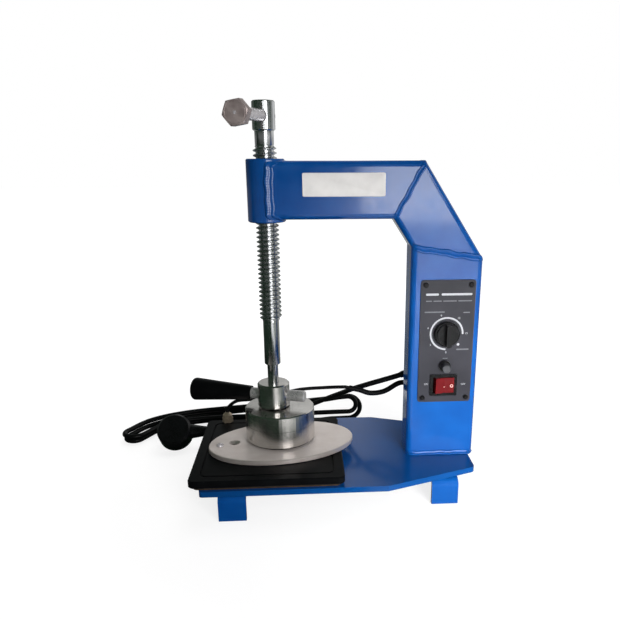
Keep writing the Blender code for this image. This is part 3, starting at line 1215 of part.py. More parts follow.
def make_cords(machine, jacket, plug_look, pin_look):
    """Mains cord with its hank and plug, and the heater's lead."""
    step = 2 * MAINS_CORD_RADIUS * CORD_POINT_STEP_SHARE
    hank = hank_points()
    print("least gap of the hank to itself, mm:",
          round(least_gap(hank, 2 * MAINS_CORD_RADIUS, 5) / MM, 2))
    cord("mains_cord_hank", hank, MAINS_CORD_RADIUS, jacket, machine, resolution=1)

    entry = (hank[0] - hank[1]).normalized()
    arrival = hank[0] + entry * SEAT_GAP
    lead_in = route_out_of_gland(MAINS_GLAND_Z, MAINS_CORD_RADIUS)
    lead_in += [(x * MM, y * MM, z * MM) for x, y, z in (
        (158, 52, 112), (121, 61, 98), (101, 82, 84), (88, 108, 69), (68, 140, 49), (42, 164, 29))]
    lead_in += [tuple(arrival + entry * 4 * MAINS_CORD_RADIUS), tuple(arrival + entry * 2 * MAINS_CORD_RADIUS),
                tuple(arrival)]
    cord("mains_cord_lead", smooth_route(lead_in, step), MAINS_CORD_RADIUS, jacket, machine)

    neck_end, neck_way = make_plug(machine, plug_look, pin_look)
    leaving = (hank[-1] - hank[-2]).normalized()
    departure = hank[-1] + leaving * SEAT_GAP
    socket = neck_end + neck_way * SEAT_GAP
    tail = [tuple(departure), tuple(departure + leaving * 2 * MAINS_CORD_RADIUS)]
    tail += [(x * MM, y * MM, z * MM) for x, y, z in (
        (36, 162, 3.8), (4, 146, 3.8), (-28, 124, 6), (-58, 104, 15))]
    tail += [tuple(socket + neck_way * 2 * MAINS_CORD_RADIUS), tuple(socket)]
    cord("mains_cord_tail", smooth_route(tail, step), MAINS_CORD_RADIUS, jacket, machine)

    sleeve = route_out_of_gland(LEAD_GLAND_Z, LEAD_SLEEVE_RADIUS)
    sleeve += [(x * MM, y * MM, z * MM) for x, y, z in (
        (172, 54, 99.5), (157, 56, 99.5), (138, 57, 88.5), (120, 58, 86), (106, 60, 90), (93, 62, 92.5))]
    sleeve_points = smooth_route(sleeve, 2 * LEAD_SLEEVE_RADIUS * CORD_POINT_STEP_SHARE)
    cord("heater_lead_sleeve", sleeve_points, LEAD_SLEEVE_RADIUS, jacket, machine)

    out_of_sleeve = (sleeve_points[-1] - sleeve_points[-2]).normalized()
    begin = sleeve_points[-1] + out_of_sleeve * SEAT_GAP
    gland_y = HEATER_Y + HEATER_SIZE / 2 - HEATER_GLAND_INSET
    gland_top = (HEATER_TOP + SEAT_GAP + HEATER_GLAND_HEX_HEIGHT + HEATER_GLAND_DOME_HEIGHT + SEAT_GAP)
    lead = [tuple(begin), tuple(begin + out_of_sleeve * 2 * LEAD_RADIUS)]
    lead += [(x * MM, y * MM, z * MM) for x, y, z in (
        (62, 70, 90.5), (30, 72, 88), (0, 71, 82), (-30, 70, 77), (-52, 67, 76))]
    lead += [(HEATER_GLAND_X, gland_y, gland_top + 2 * LEAD_RADIUS), (HEATER_GLAND_X, gland_y, gland_top)]
    cord("heater_lead", smooth_route(lead, 2 * LEAD_RADIUS * CORD_POINT_STEP_SHARE), LEAD_RADIUS, jacket, machine)


def make_plug(machine, look, pin_look):
    """Round plug that leans back until its pins touch the floor."""
    lean = math.atan2(PLUG_RADIUS - PLUG_PIN_RADIUS, PLUG_PIN_LENGTH)
    foot = empty("plug_foot", machine, (PLUG_X, PLUG_FOOT_Y, CORD_FLOOR_GAP), (90 * DEG - lean, 0, 0))
    radius = PLUG_RADIUS
    edge = PLUG_EDGE
    centre = (0, radius, 0)
    body = piece("plug_body", turned(
        [(0, 0), (radius, 0), (radius, PLUG_THICKNESS - edge), (radius - edge, PLUG_THICKNESS),
         (0, PLUG_THICKNESS)]), look, foot, centre)
    neck = guide("plug_neck", turned(
        [(0, 0), (PLUG_NECK_RADIUS, 0), (PLUG_NECK_RADIUS, radius), (PLUG_NECK_END_RADIUS, radius + PLUG_NECK_LENGTH),
         (0, radius + PLUG_NECK_LENGTH)], SMALL_ROUND_STEPS), foot, (0, radius, PLUG_THICKNESS / 2),
        (0, 90 * DEG, 0))
    boolean(body, neck, 'UNION')
    for name, side in (("plug_pin_left", -1), ("plug_pin_right", 1)):
        piece(name, rod(PLUG_PIN_RADIUS, -PLUG_PIN_LENGTH + SEAT_GAP, -SEAT_GAP, steps=SMALL_ROUND_STEPS),
              pin_look, foot, (side * PLUG_PIN_SPACING / 2, radius, 0))
    turn = Matrix.Rotation(90 * DEG - lean, 3, 'X')
    middle = Vector((PLUG_X, PLUG_FOOT_Y, CORD_FLOOR_GAP)) + turn @ Vector((0, radius, PLUG_THICKNESS / 2))
    return middle + X_AXIS * (radius + PLUG_NECK_LENGTH), X_AXIS.copy()


def build():
    """Make the whole machine."""
    clear_scene()
    blue = material("blue_enamel", 0.02, 0.16, 0.60, 0.22)
    chrome = material("chrome", 0.75, 0.75, 0.76, 0.12, 1.0)
    steel = material("brushed_steel", 0.62, 0.62, 0.62, 0.32, 1.0)
    bare_steel = material("bare_steel", 0.22, 0.19, 0.18, 0.5, 1.0)
    aluminium = material("milled_aluminium", 0.78, 0.76, 0.74, 0.35, 1.0)
    bronze = material("bronze", 0.55, 0.38, 0.18, 0.4, 1.0)
    brass = material("brass", 0.72, 0.55, 0.28, 0.3, 1.0)
    black_coat = material("black_coating", 0.015, 0.015, 0.018, 0.35)
    board = material("insulation", 0.35, 0.30, 0.24, 0.9)
    element = material("heating_element", 0.12, 0.12, 0.12, 0.6, 1.0)
    panel = material("panel_grey", 0.08, 0.08, 0.09, 0.45)
    black_plastic = material("black_plastic", 0.01, 0.01, 0.012, 0.35)
    grip_rubber = material("grip_rubber", 0.008, 0.008, 0.008, 0.5)
    red_plastic = material("red_plastic", 0.55, 0.01, 0.015, 0.25)
    glass = material("fuse_glass", 0.7, 0.75, 0.75, 0.1)
    jacket = material("cord_jacket", 0.012, 0.012, 0.013, 0.5)

    machine = empty("machine", None, (SPINDLE_X, 0, 0))
    make_base(machine, blue)
    make_foot_strap("left_foot_strap", LEFT_FOOT_X, LEFT_FOOT_REACH, machine, blue)
    make_foot_strap("right_foot_strap", RIGHT_FOOT_X, RIGHT_FOOT_REACH, machine, blue)
    make_frame_tubes(machine, blue)
    make_boss(machine, blue, bronze)
    make_heater(machine, black_coat, board, element, steel, brass)

    face = make_panel(machine, panel, black_plastic)
    make_timer(face, black_plastic, steel, black_plastic)
    make_fuse_holder(face, black_plastic, glass)
    make_switch(face, black_plastic, red_plastic, brass)
    make_gland("mains_gland", MAINS_GLAND_Z, MAINS_CORD_RADIUS, machine, black_plastic)
    make_gland("lead_gland", LEAD_GLAND_Z, LEAD_SLEEVE_RADIUS, machine, black_plastic)

    spindle_axis = empty("spindle_axis", machine)
    make_spindle(spindle_axis, chrome)
    make_spindle_head(spindle_axis, chrome)
    make_tee_bar(spindle_axis, chrome, bare_steel)
    make_hub(spindle_axis, chrome, chrome, grip_rubber)
    make_press_head(machine, steel, bronze, bare_steel)
    make_oval_plate(machine, aluminium, chrome)
    make_cords(machine, jacket, black_plastic, brass)


build()
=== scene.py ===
import math

import bmesh
import bpy
from mathutils import Matrix, Vector
from mathutils.bvhtree import BVHTree


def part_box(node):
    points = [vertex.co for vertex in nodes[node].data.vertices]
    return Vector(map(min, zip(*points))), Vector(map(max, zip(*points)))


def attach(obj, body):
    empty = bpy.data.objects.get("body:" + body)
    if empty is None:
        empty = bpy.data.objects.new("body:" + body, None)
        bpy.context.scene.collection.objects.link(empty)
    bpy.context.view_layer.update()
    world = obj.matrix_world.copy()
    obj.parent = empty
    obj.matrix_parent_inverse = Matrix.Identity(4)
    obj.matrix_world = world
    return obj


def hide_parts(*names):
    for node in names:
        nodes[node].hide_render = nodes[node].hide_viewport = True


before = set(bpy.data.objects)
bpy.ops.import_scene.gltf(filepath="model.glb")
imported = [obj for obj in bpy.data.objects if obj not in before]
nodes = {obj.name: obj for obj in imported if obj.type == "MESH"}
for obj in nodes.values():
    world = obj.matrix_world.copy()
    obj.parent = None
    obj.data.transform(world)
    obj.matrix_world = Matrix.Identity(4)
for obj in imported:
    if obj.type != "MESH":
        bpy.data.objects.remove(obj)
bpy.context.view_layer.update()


# Camera, where the photograph was taken from: in front of the spindle, a little to its right and level with
# the arm. Its place, like every piece's, is in millimetres from the spindle's axis and the floor.
MM = 0.001
CAMERA_PLACE = (39.4, -707.3, 374.6)
PAN = -0.0653
TILT = -0.3013
ROLL = -0.0018
SHIFT_X = -0.0587
SHIFT_Y = 0.0744
FOCAL_PIXELS = 637.5
PHOTO_WIDTH = 620
SENSOR_WIDTH = 36
low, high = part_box("spindle")
axis_x = (low.x + high.x) / 2


def spot(x, y, z):
    """A point in millimetres from the spindle's axis and the floor, in metres in the row frame."""
    return Vector((axis_x + x * MM, y * MM, z * MM))


camera = bpy.data.objects.new("camera", bpy.data.cameras.new("camera"))
bpy.context.scene.collection.objects.link(camera)
camera.matrix_world = (Matrix.Translation(spot(*CAMERA_PLACE))
                       @ Matrix.Rotation(PAN, 4, 'Z')
                       @ Matrix.Rotation(math.pi / 2 + TILT, 4, 'X')
                       @ Matrix.Rotation(ROLL, 4, 'Z'))
camera.data.sensor_width = SENSOR_WIDTH
camera.data.lens = SENSOR_WIDTH * FOCAL_PIXELS / PHOTO_WIDTH
camera.data.shift_x = SHIFT_X
camera.data.shift_y = SHIFT_Y
camera.data.dof.use_dof = False
bpy.context.scene.camera = camera
bpy.context.scene.view_settings.view_transform = 'Standard'


# Cords: black flex in an extruded PVC jacket, a little waxy, its grain drawn about three times as coarse as
# the real one, to show. The mains cord leaves its gland, joins the hank that lies behind the base and ends
# in the plug. The heater's lead hangs in its sleeve and goes on to the gland on the heater.
MAINS_RADIUS = 3.4
CORD_FLOOR_GAP = 0.25
CURVE_PARTS = 24


def colour(code):
    """Linear colour of an sRGB code such as "1a5fc4"."""
    channels = [int(code[index:index + 2], 16) / 255 for index in (0, 2, 4)]
    linear = [c / 12.92 if c <= 0.04045 else ((c + 0.055) / 1.055) ** 2.4 for c in channels]
    return (*linear, 1)


def add(tree, kind, inputs=None, **settings):
    """Add a node with its settings, its inputs set or linked to a socket or to a node's first output."""
    made = tree.nodes.new(kind)
    for name, value in settings.items():
        setattr(made, name, value)
    for socket, value in (inputs or {}).items():
        if isinstance(value, bpy.types.Node):
            value = value.outputs[0]
        if isinstance(value, bpy.types.NodeSocket):
            tree.links.new(value, made.inputs[socket])
        else:
            made.inputs[socket].default_value = value
    return made


def finish(name, tones, roughness, metallic=0.0, patch=12, grain=0.8, depth=0.01, swing=0.05,
           stretch=(1, 1, 1), turned_about=None, **extra):
    """A surface of two near tones in patches, with a fine grain in its relief and its roughness.

    patch and grain are sizes in millimetres, depth is the relief's, and swing is how far the roughness goes
    either way. stretch below one draws the grain out along an axis, and turned_about makes rings round a
    vertical axis that spread the light across them.
    """
    made = bpy.data.materials.new(name)
    made.use_nodes = True
    tree = made.node_tree
    shader = tree.nodes["Principled BSDF"]
    shader.inputs["Metallic"].default_value = metallic
    for socket, value in extra.items():
        shader.inputs[socket.replace("_", " ")].default_value = value
    coords = add(tree, "ShaderNodeTexCoord").outputs["Object"]
    fine_coords = add(tree, "ShaderNodeVectorMath", {0: coords, 1: stretch}, operation='MULTIPLY')
    if turned_about:
        from_axis = add(tree, "ShaderNodeVectorMath", {0: coords, 1: (*turned_about, 0)},
                        operation='SUBTRACT')
        level = add(tree, "ShaderNodeVectorMath", {0: from_axis, 1: (1, 1, 0)}, operation='MULTIPLY')
        radius = add(tree, "ShaderNodeVectorMath", {0: level}, operation='LENGTH').outputs["Value"]
        height = add(tree, "ShaderNodeSeparateXYZ", {0: coords}).outputs[2]
        fine_coords = add(tree, "ShaderNodeCombineXYZ", {0: radius, 1: height})
        around = add(tree, "ShaderNodeVectorMath", {0: (0, 0, 1), 1: level}, operation='CROSS_PRODUCT')
        tree.links.new(around.outputs[0], shader.inputs["Tangent"])
        shader.inputs["Anisotropic Rotation"].default_value = 0.25
    patches = add(tree, "ShaderNodeTexNoise", {"Vector": coords, "Scale": 1000 / patch, "Detail": 4})
    fine = add(tree, "ShaderNodeTexNoise", {"Vector": fine_coords, "Scale": 1000 / grain, "Detail": 2})
    share = add(tree, "ShaderNodeMapRange", {"Value": patches, "From Min": 0.32, "From Max": 0.68})
    tone = add(tree, "ShaderNodeMix", {0: share, 6: colour(tones[0]), 7: colour(tones[1])},
               data_type='RGBA')
    tree.links.new(tone.outputs[2], shader.inputs["Base Color"])
    both = add(tree, "ShaderNodeMath", {0: patches, 1: fine}, operation='ADD')
    dulled = add(tree, "ShaderNodeMapRange", {"Value": both, "From Min": 0.7, "From Max": 1.3,
                                              "To Min": roughness - swing, "To Max": roughness + swing})
    tree.links.new(dulled.outputs[0], shader.inputs["Roughness"])
    relief = add(tree, "ShaderNodeBump", {"Height": fine, "Distance": depth * MM})
    tree.links.new(relief.outputs[0], shader.inputs["Normal"])
    return made


jacket = finish("extruded_pvc_jacket", ("040405", "09090a"), 0.4, patch=18, grain=1.1, depth=0.02,
                Specular_IOR_Level=0.25)


def smooth_route(points, step, straight_ends=True):
    """Even points along a smooth curve through the route's own points."""
    route = [Vector(point) for point in points]
    spans = range(1, len(route) - 2) if straight_ends else range(len(route) - 1)
    padded = [2 * route[0] - route[1]] + route + [2 * route[-1] - route[-2]]
    fine = []
    for index in spans:
        before, start, end, after = padded[index:index + 4]
        for part in range(CURVE_PARTS):
            share = part / CURVE_PARTS
            curve = (2 * before - 5 * start + 4 * end - after) * share ** 2
            twist = (3 * start - before - 3 * end + after) * share ** 3
            fine.append((2 * start + (end - before) * share + curve + twist) / 2)
    fine.append(route[-2] if straight_ends else route[-1])
    lengths = [0.0]
    for first, second in zip(fine, fine[1:]):
        lengths.append(lengths[-1] + (second - first).length)
    count = max(2, round(lengths[-1] / step))
    even = []
    index = 0
    for part in range(count + 1):
        wanted = lengths[-1] * part / count
        while index < len(fine) - 2 and lengths[index + 1] < wanted:
            index += 1
        span = lengths[index + 1] - lengths[index]
        share = (wanted - lengths[index]) / span if span else 0.0
        even.append(fine[index].lerp(fine[index + 1], min(1.0, share)))
    return [route[0]] + even + [route[-1]] if straight_ends else even


# The hank's loops are long: each runs along the spine and back, with half a turn at either end. They spread
# and stand up on edge towards the right.
HANK_TURNS = 23 / 12
HANK_POINTS_PER_TURN = 120
HANK_START = 0.1
HANK_RUN = 0.3
HANK_OUTER = 16.5
HANK_LANE = 8
HANK_LAYER = 7.5
HANK_SPREAD = 0.15
HANK_TILT = math.radians(45)
HANK_SPINE = ((-200, 124), (-178, 158), (-138, 179), (-88, 188), (-30, 191), (40, 190), (100, 187))


def hank_point(spine, share, offset, layer):
    """A point of a loop: share of the turn, offset from the spine, and layer height."""
    share = share % 1.0
    turn = 1 / 2 - HANK_RUN
    if share < HANK_RUN:
        along, angle = 1 - share / HANK_RUN, math.radians(270)
    elif share < 1 / 2:
        along, angle = 0.0, math.radians(270 - 180 * (share - HANK_RUN) / turn)
    elif share < 1 / 2 + HANK_RUN:
        along, angle = (share - 1 / 2) / HANK_RUN, math.radians(90)
    else:
        along, angle = 1.0, math.radians(90 - 180 * (share - 1 / 2 - HANK_RUN) / turn)
    position = along * (len(spine) - 1)
    index = min(int(position), len(spine) - 2)
    point = spine[index].lerp(spine[index + 1], position - index)
    forward = (spine[index + 1] - spine[index]).normalized()
    upward = Vector((0, 0, 1))
    side = upward.cross(forward)
    tilt = HANK_TILT * along ** 3
    spread = 1 + HANK_SPREAD * along
    across = side * math.cos(tilt) + upward * math.sin(tilt)
    above = upward * math.cos(tilt) - side * math.sin(tilt)
    reach = offset * spread
    lowest = (HANK_OUTER * spread * math.sin(tilt) + MAINS_RADIUS + CORD_FLOOR_GAP) * MM
    return (point + upward * lowest + across * reach * math.sin(angle)
            + forward * reach * math.cos(angle) + above * layer)


def hank_points():
    """The hank spirals in on its upper layer, steps down and spirals out on the floor."""
    spine = smooth_route([spot(x, y, 0) for x, y in HANK_SPINE], MAINS_RADIUS * MM, straight_ends=False)
    count = round(HANK_TURNS * HANK_POINTS_PER_TURN)
    middle = HANK_TURNS / 2
    points = []
    for index in range(count + 1):
        turns = HANK_TURNS * index / count
        inward = middle - abs(turns - middle)
        climb = min(1.0, max(0.0, 2 * (turns - middle) + 1 / 2))
        layer = HANK_LAYER * MM * (1 - climb * climb * (3 - 2 * climb))
        points.append(hank_point(spine, HANK_START + turns, (HANK_OUTER - HANK_LANE * inward) * MM, layer))
    return points


def cord(name, points, radius):
    """A smooth round cord along the points."""
    curve = bpy.data.curves.new(name, 'CURVE')
    curve.dimensions = '3D'
    curve.bevel_depth = radius
    curve.bevel_resolution = 6
    curve.use_fill_caps = True
    spline = curve.splines.new('POLY')
    spline.points.add(len(points) - 1)
    for target, point in zip(spline.points, points):
        target.co = (*point, 1)
    curve.materials.append(jacket)
    made = bpy.data.objects.new(name, curve)
    bpy.context.scene.collection.objects.link(made)
    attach(made, "frame")
    return made


# The mains cord leaves its gland and meets its far end straight, by its own thickness. The plug lies back on
# its pins, which sets how far it leans.
SEAT_GAP = 0.3
GLAND_X = 180
GLAND_FACE_Y = 35.6
MAINS_GLAND_Z = 124
MAINS_STEP = 4
PLUG_X = -139
PLUG_FOOT_Y = 85
PLUG_RADIUS = 22.5
PLUG_THICKNESS = 22
PLUG_NECK_LENGTH = 22
PLUG_PIN_RADIUS = 2.4
PLUG_PIN_LENGTH = 19
hank = hank_points()
straight = 2 * MAINS_RADIUS
entry = (hank[0] - hank[1]).normalized()
lead_route = [spot(GLAND_X, GLAND_FACE_Y, MAINS_GLAND_Z),
              spot(GLAND_X, GLAND_FACE_Y + straight, MAINS_GLAND_Z), spot(158, 52, 112), spot(121, 61, 98),
              spot(101, 82, 84), spot(88, 108, 69), spot(68, 140, 49), spot(42, 164, 29),
              hank[0] + entry * (2 * straight + SEAT_GAP) * MM,
              hank[0] + entry * (straight + SEAT_GAP) * MM, hank[0]]
plug_lean = math.atan2(PLUG_RADIUS - PLUG_PIN_RADIUS, PLUG_PIN_LENGTH)
plug_turn = (Matrix.Translation(spot(PLUG_X, PLUG_FOOT_Y, CORD_FLOOR_GAP))
             @ Matrix.Rotation(math.pi / 2 - plug_lean, 4, 'X'))
neck_reach = PLUG_RADIUS + PLUG_NECK_LENGTH + SEAT_GAP
neck_end = plug_turn @ (Vector((neck_reach, PLUG_RADIUS, PLUG_THICKNESS / 2)) * MM)
leaving = (hank[-1] - hank[-2]).normalized()
tail_route = [hank[-1], hank[-1] + leaving * (straight + SEAT_GAP) * MM, spot(36, 162, 3.8),
              spot(4, 146, 3.8), spot(-28, 124, 6), spot(-58, 104, 15),
              neck_end + Vector((straight * MM, 0, 0)), neck_end]
lead = smooth_route(lead_route, MAINS_STEP * MM)
tail = smooth_route(tail_route, MAINS_STEP * MM)
mains = lead[:-1] + hank + tail[1:]
mains_cord = cord("mains_cord", mains, MAINS_RADIUS * MM)
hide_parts("mains_cord_lead", "mains_cord_hank", "mains_cord_tail")

# The heater's lead leaves its gland and its sleeve in the same way, and comes down on the heater's gland.
SLEEVE_RADIUS = 3.3
LEAD_RADIUS = 2.2
LEAD_GLAND_Z = 99
LEAD_STEP = 3
sleeve_route = [spot(GLAND_X, GLAND_FACE_Y, LEAD_GLAND_Z),
                spot(GLAND_X, GLAND_FACE_Y + 2 * SLEEVE_RADIUS, LEAD_GLAND_Z), spot(172, 54, 99.5),
                spot(157, 56, 99.5), spot(138, 57, 88.5), spot(120, 58, 86), spot(106, 60, 90),
                spot(93, 62, 92.5)]
sleeve = smooth_route(sleeve_route, LEAD_STEP * MM)
onward = (sleeve[-1] - sleeve[-2]).normalized()
thin_route = [sleeve[-1], sleeve[-1] + onward * (2 * LEAD_RADIUS + SEAT_GAP) * MM, spot(62, 70, 90.5),
              spot(30, 72, 88), spot(0, 71, 82), spot(-30, 70, 77), spot(-52, 67, 76), spot(-64, 65.3, 66.6),
              spot(-64, 65.3, 62.2)]
thin = smooth_route(thin_route, LEAD_STEP * MM)
heater_lead = cord("heater_lead_wire", sleeve[:-1] + thin, LEAD_RADIUS * MM)
lead_sleeve = cord("heater_lead_cover", sleeve, SLEEVE_RADIUS * MM)
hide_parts("heater_lead")
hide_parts("heater_lead_sleeve")


# Plug, glands and strain relief: black moulded ABS with a spark-eroded grain, and brass pins. A ribbed taper
# holds the mains cord where it leaves its gland.
RELIEF_INSIDE_Y = 33
RELIEF_STEP = 0.8
RELIEF_POINTS = 46
RELIEF_SIDES = 24
RELIEF_WIDE_RADIUS = 5.7
RELIEF_NARROW_RADIUS = 4
RIB_RISE = 0.35
RIB_HOLLOW = 0.25
PLAIN_END_POINTS = 4


def dress(look, *names):
    """Give CAD nodes their material."""
    for name in names:
        nodes[name].data.materials.clear()
        nodes[name].data.materials.append(look)


moulded = finish("moulded_abs", ("060607", "0b0b0d"), 0.3, patch=10, grain=0.7, depth=0.012,
                 Specular_IOR_Level=0.35)
drawn_brass = finish("drawn_brass", ("a3813f", "c9a45c"), 0.25, 1.0, patch=5, grain=0.6, depth=0.004)
dress(moulded, "mains_gland", "lead_gland", "plug_body")
dress(drawn_brass, "plug_pin_left", "plug_pin_right")


def piece(name, shape, look, body, sharp=35):
    """Turn a bmesh into a finished piece that rides on a body."""
    bmesh.ops.recalc_face_normals(shape, faces=shape.faces)
    mesh = bpy.data.meshes.new(name)
    shape.to_mesh(mesh)
    shape.free()
    mesh.shade_smooth()
    mesh.set_sharp_from_angle(angle=math.radians(sharp))
    mesh.materials.append(look)
    made = bpy.data.objects.new(name, mesh)
    bpy.context.scene.collection.objects.link(made)
    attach(made, body)
    return made


def sweep(name, points, outwards, section, look, body, closed=False):
    """Carry a section of (side, out) offsets along the points."""
    shape = bmesh.new()
    loops = []
    count = len(points)
    for index, point in enumerate(points):
        before = points[index - 1] if index or closed else points[0]
        after = points[(index + 1) % count] if index + 1 < count or closed else points[-1]
        forward = (after - before).normalized()
        side = forward.cross(outwards[index]).normalized()
        out = side.cross(forward)
        loops.append([shape.verts.new(point + side * a + out * b) for a, b in section(index)])
    pairs = list(zip(loops, loops[1:])) + ([(loops[-1], loops[0])] if closed else [])
    for first, second in pairs:
        for index in range(len(first)):
            following = (index + 1) % len(first)
            shape.faces.new((first[index], first[following], second[following], second[index]))
    if not closed:
        shape.faces.new(loops[0])
        shape.faces.new(loops[-1][::-1])
    return piece(name, shape, look, body)


def relief_section(index):
    """The taper's round section, with ribs of three points and hollows of two between its plain ends."""
    share = index / (RELIEF_POINTS - 1)
    radius = RELIEF_WIDE_RADIUS + (RELIEF_NARROW_RADIUS - RELIEF_WIDE_RADIUS) * share
    if PLAIN_END_POINTS <= index < RELIEF_POINTS - PLAIN_END_POINTS:
        radius += RIB_RISE if index % 5 < 3 else -RIB_HOLLOW
    angles = [math.tau * step / RELIEF_SIDES for step in range(RELIEF_SIDES)]
    return [(radius * MM * math.cos(angle), radius * MM * math.sin(angle)) for angle in angles]


relief_path = smooth_route([spot(GLAND_X, RELIEF_INSIDE_Y, MAINS_GLAND_Z)] + lead_route, RELIEF_STEP * MM)
relief_path = relief_path[:RELIEF_POINTS]
sweep("mains_strain_relief", relief_path, [Vector((0, 0, 1))] * RELIEF_POINTS, relief_section, moulded,
      "frame")


# Frame: bent and cut steel plate, mitred tubes and a turned boss, welded and then dipped in glossy stoving
# enamel. The enamel is deep blue, and its slow orange peel of 6 mm clouds what it mirrors. The base plate
# gets a darker copy of it, with shade painted into its colour, and with a weaker sheen.
enamel = finish("stoving_enamel", ("074184", "09498e"), 0.14, patch=32, grain=6, depth=0.012, swing=0.06,
                Coat_Weight=0.15, Coat_Roughness=0.05)
# Painted shade: the base plate's copy of the enamel is darker because the base lies in shade.
shaded_base_enamel = finish("base_enamel_painted_shade", ("053a72", "063d77"), 0.16, patch=32, grain=6, depth=0.012, swing=0.06,
               Coat_Weight=0.1, Coat_Roughness=0.08, Specular_IOR_Level=0.3)
dress(shaded_base_enamel, "base_plate")
dress(enamel, "left_foot_strap", "right_foot_strap", "column_tube", "diagonal_tube", "arm_tube",
      "spindle_boss")


# Welds at the boss, the shoulder, the knee and the column's foot, and under the straps. They close the gaps
# between the tubes and lie under the enamel.
FOOT_HEIGHT = 30
FOOT_BAR_WIDTH = 30
BASE_TOP = 36.5
TUBE_HALF_DEPTH = 20
TUBE_CORNER = 6
COLUMN_X = 195.6
COLUMN_HALF_WIDTH = 40
ARM_MIDDLE = 342
ARM_HALF_HEIGHT = 30
SHOULDER_X = 136
DIAGONAL_SLOPE = math.radians(57)
BOSS_BEAD_RADIUS = 21.9
BOSS_BEAD_REACH = 4.2
BOSS_BEAD_BULGE = 0.055
KNEE_OUT_X = 0.96
KNEE_OUT_Z = 0.28
FOOT_BEAD_CORNER = 6.5
FOOT_BEAD_OUT = 1.2
FOOT_BEAD_IN = 0.7
STRAPS = (("left", -44, 66), ("right", 192, 46))
STRAP_BEAD_OUT = 0.6
STRAP_BEAD_STEP = 0.8
STRAP_BEAD_POINTS = 36
BEAD_STEP = 0.7
BEAD_ROOT = 0.8
BEAD_PARTS = 16
RIPPLE = 2.6
CORNER_STEPS = 8
ROUND_CORNERS = ((1, 1, 0), (-1, 1, 90), (-1, -1, 180), (1, -1, 270))


def bead(name, points, outwards, half_width, height, closed=False, edge_share=0.22, wider=(), fold=0.0):
    """A weld bead under the enamel: two rows of ripples with a hollow between, and edges that wander.

    Where it turns away from the front it is lower, by edge_share, and its sides fall by fold with the tubes
    that meet there; wider scales the width along it. Slow waves of unlike lengths keep it uneven.
    """
    travel = [0.0]
    for first, second in zip(points, points[1:]):
        travel.append(travel[-1] + (second - first).length / MM)
    most = max(abs(way.normalized().y) for way in outwards) or 1

    def section(index):
        s = travel[index]
        ripple = abs(math.sin(math.pi * s / RIPPLE))
        wander = 0.35 * math.sin(s / 2.9) + 0.3 * math.sin(s / 5.3 + 1)
        fronting = edge_share + (1 - edge_share) * (abs(outwards[index].normalized().y) / most) ** 3
        wide = half_width * (wider[index] if wider else 1) * (0.55 + 0.45 * fronting)
        wide *= 0.92 + 0.08 * ripple + 0.07 * math.sin(s / 4.1)
        tall = height * fronting * (0.8 + 0.2 * ripple + 0.1 * math.sin(s / 6.7 + 2))
        drop = fold * (1 - fronting) * wide
        ring = [(wide * MM, (-BEAD_ROOT - drop) * MM), (-wide * MM, (-BEAD_ROOT - drop) * MM)]
        for step in range(BEAD_PARTS + 1):
            across = -math.cos(math.pi * step / BEAD_PARTS)
            rise = (1 - across ** 4) * (0.45 + abs(across))
            ring.append(((wide * across + wander) * MM, (tall * rise - drop * abs(across)) * MM))
        return ring

    return sweep(name, points, outwards, section, enamel, "frame", closed)


def around_section(half_a, half_b, radius=TUBE_CORNER):
    """Places (a, b) and outward ways round a rectangle with round corners, in millimetres."""
    places = []
    for index, (side_a, side_b, start) in enumerate(ROUND_CORNERS):
        centre = (side_a * (half_a - radius), side_b * (half_b - radius))
        for part in range(CORNER_STEPS + 1):
            angle = math.radians(start + 90 * part / CORNER_STEPS)
            way = (math.cos(angle), math.sin(angle))
            places.append((centre[0] + radius * way[0], centre[1] + radius * way[1], *way))
        other_a, other_b, _ = ROUND_CORNERS[(index + 1) % 4]
        target = (other_a * (half_a - radius) + radius * way[0],
                  other_b * (half_b - radius) + radius * way[1])
        begin = places[-1][:2]
        parts = round(math.dist(begin, target) / BEAD_STEP)
        for part in range(1, parts):
            share = part / parts
            places.append((begin[0] + (target[0] - begin[0]) * share,
                           begin[1] + (target[1] - begin[1]) * share, *way))
    return places


# Round the arm's end the bead lies on the boss, and on the tube's front and back it reaches further over it.
half_turn = DIAGONAL_SLOPE / 2
boss_path, boss_ways, boss_width = [], [], []
for a, b, way_a, way_b in around_section(ARM_HALF_HEIGHT, TUBE_HALF_DEPTH):
    fronting = (abs(b) / TUBE_HALF_DEPTH) ** 6
    on_boss = math.sqrt(max(0, BOSS_BEAD_RADIUS ** 2 - b * b))
    boss_path.append(spot(on_boss - BOSS_BEAD_REACH * fronting, b * (1 + BOSS_BEAD_BULGE * fronting),
                          ARM_MIDDLE + a))
    boss_ways.append(Vector((0.15, way_b, way_a)))
    boss_width.append(0.7 + 0.3 * fronting)
bead("boss_weld", boss_path, boss_ways, 5.4, 1.3, closed=True, wider=boss_width)

shoulder_path, shoulder_ways = [], []
for a, b, way_a, way_b in around_section(ARM_HALF_HEIGHT, TUBE_HALF_DEPTH):
    shoulder_path.append(spot(SHOULDER_X + (a + ARM_HALF_HEIGHT) * math.tan(half_turn), b, ARM_MIDDLE + a))
    shoulder_ways.append(Vector((way_a * math.sin(half_turn), way_b, way_a * math.cos(half_turn))))
bead("shoulder_weld", shoulder_path, shoulder_ways, 3.0, 1.3, closed=True, fold=0.6)

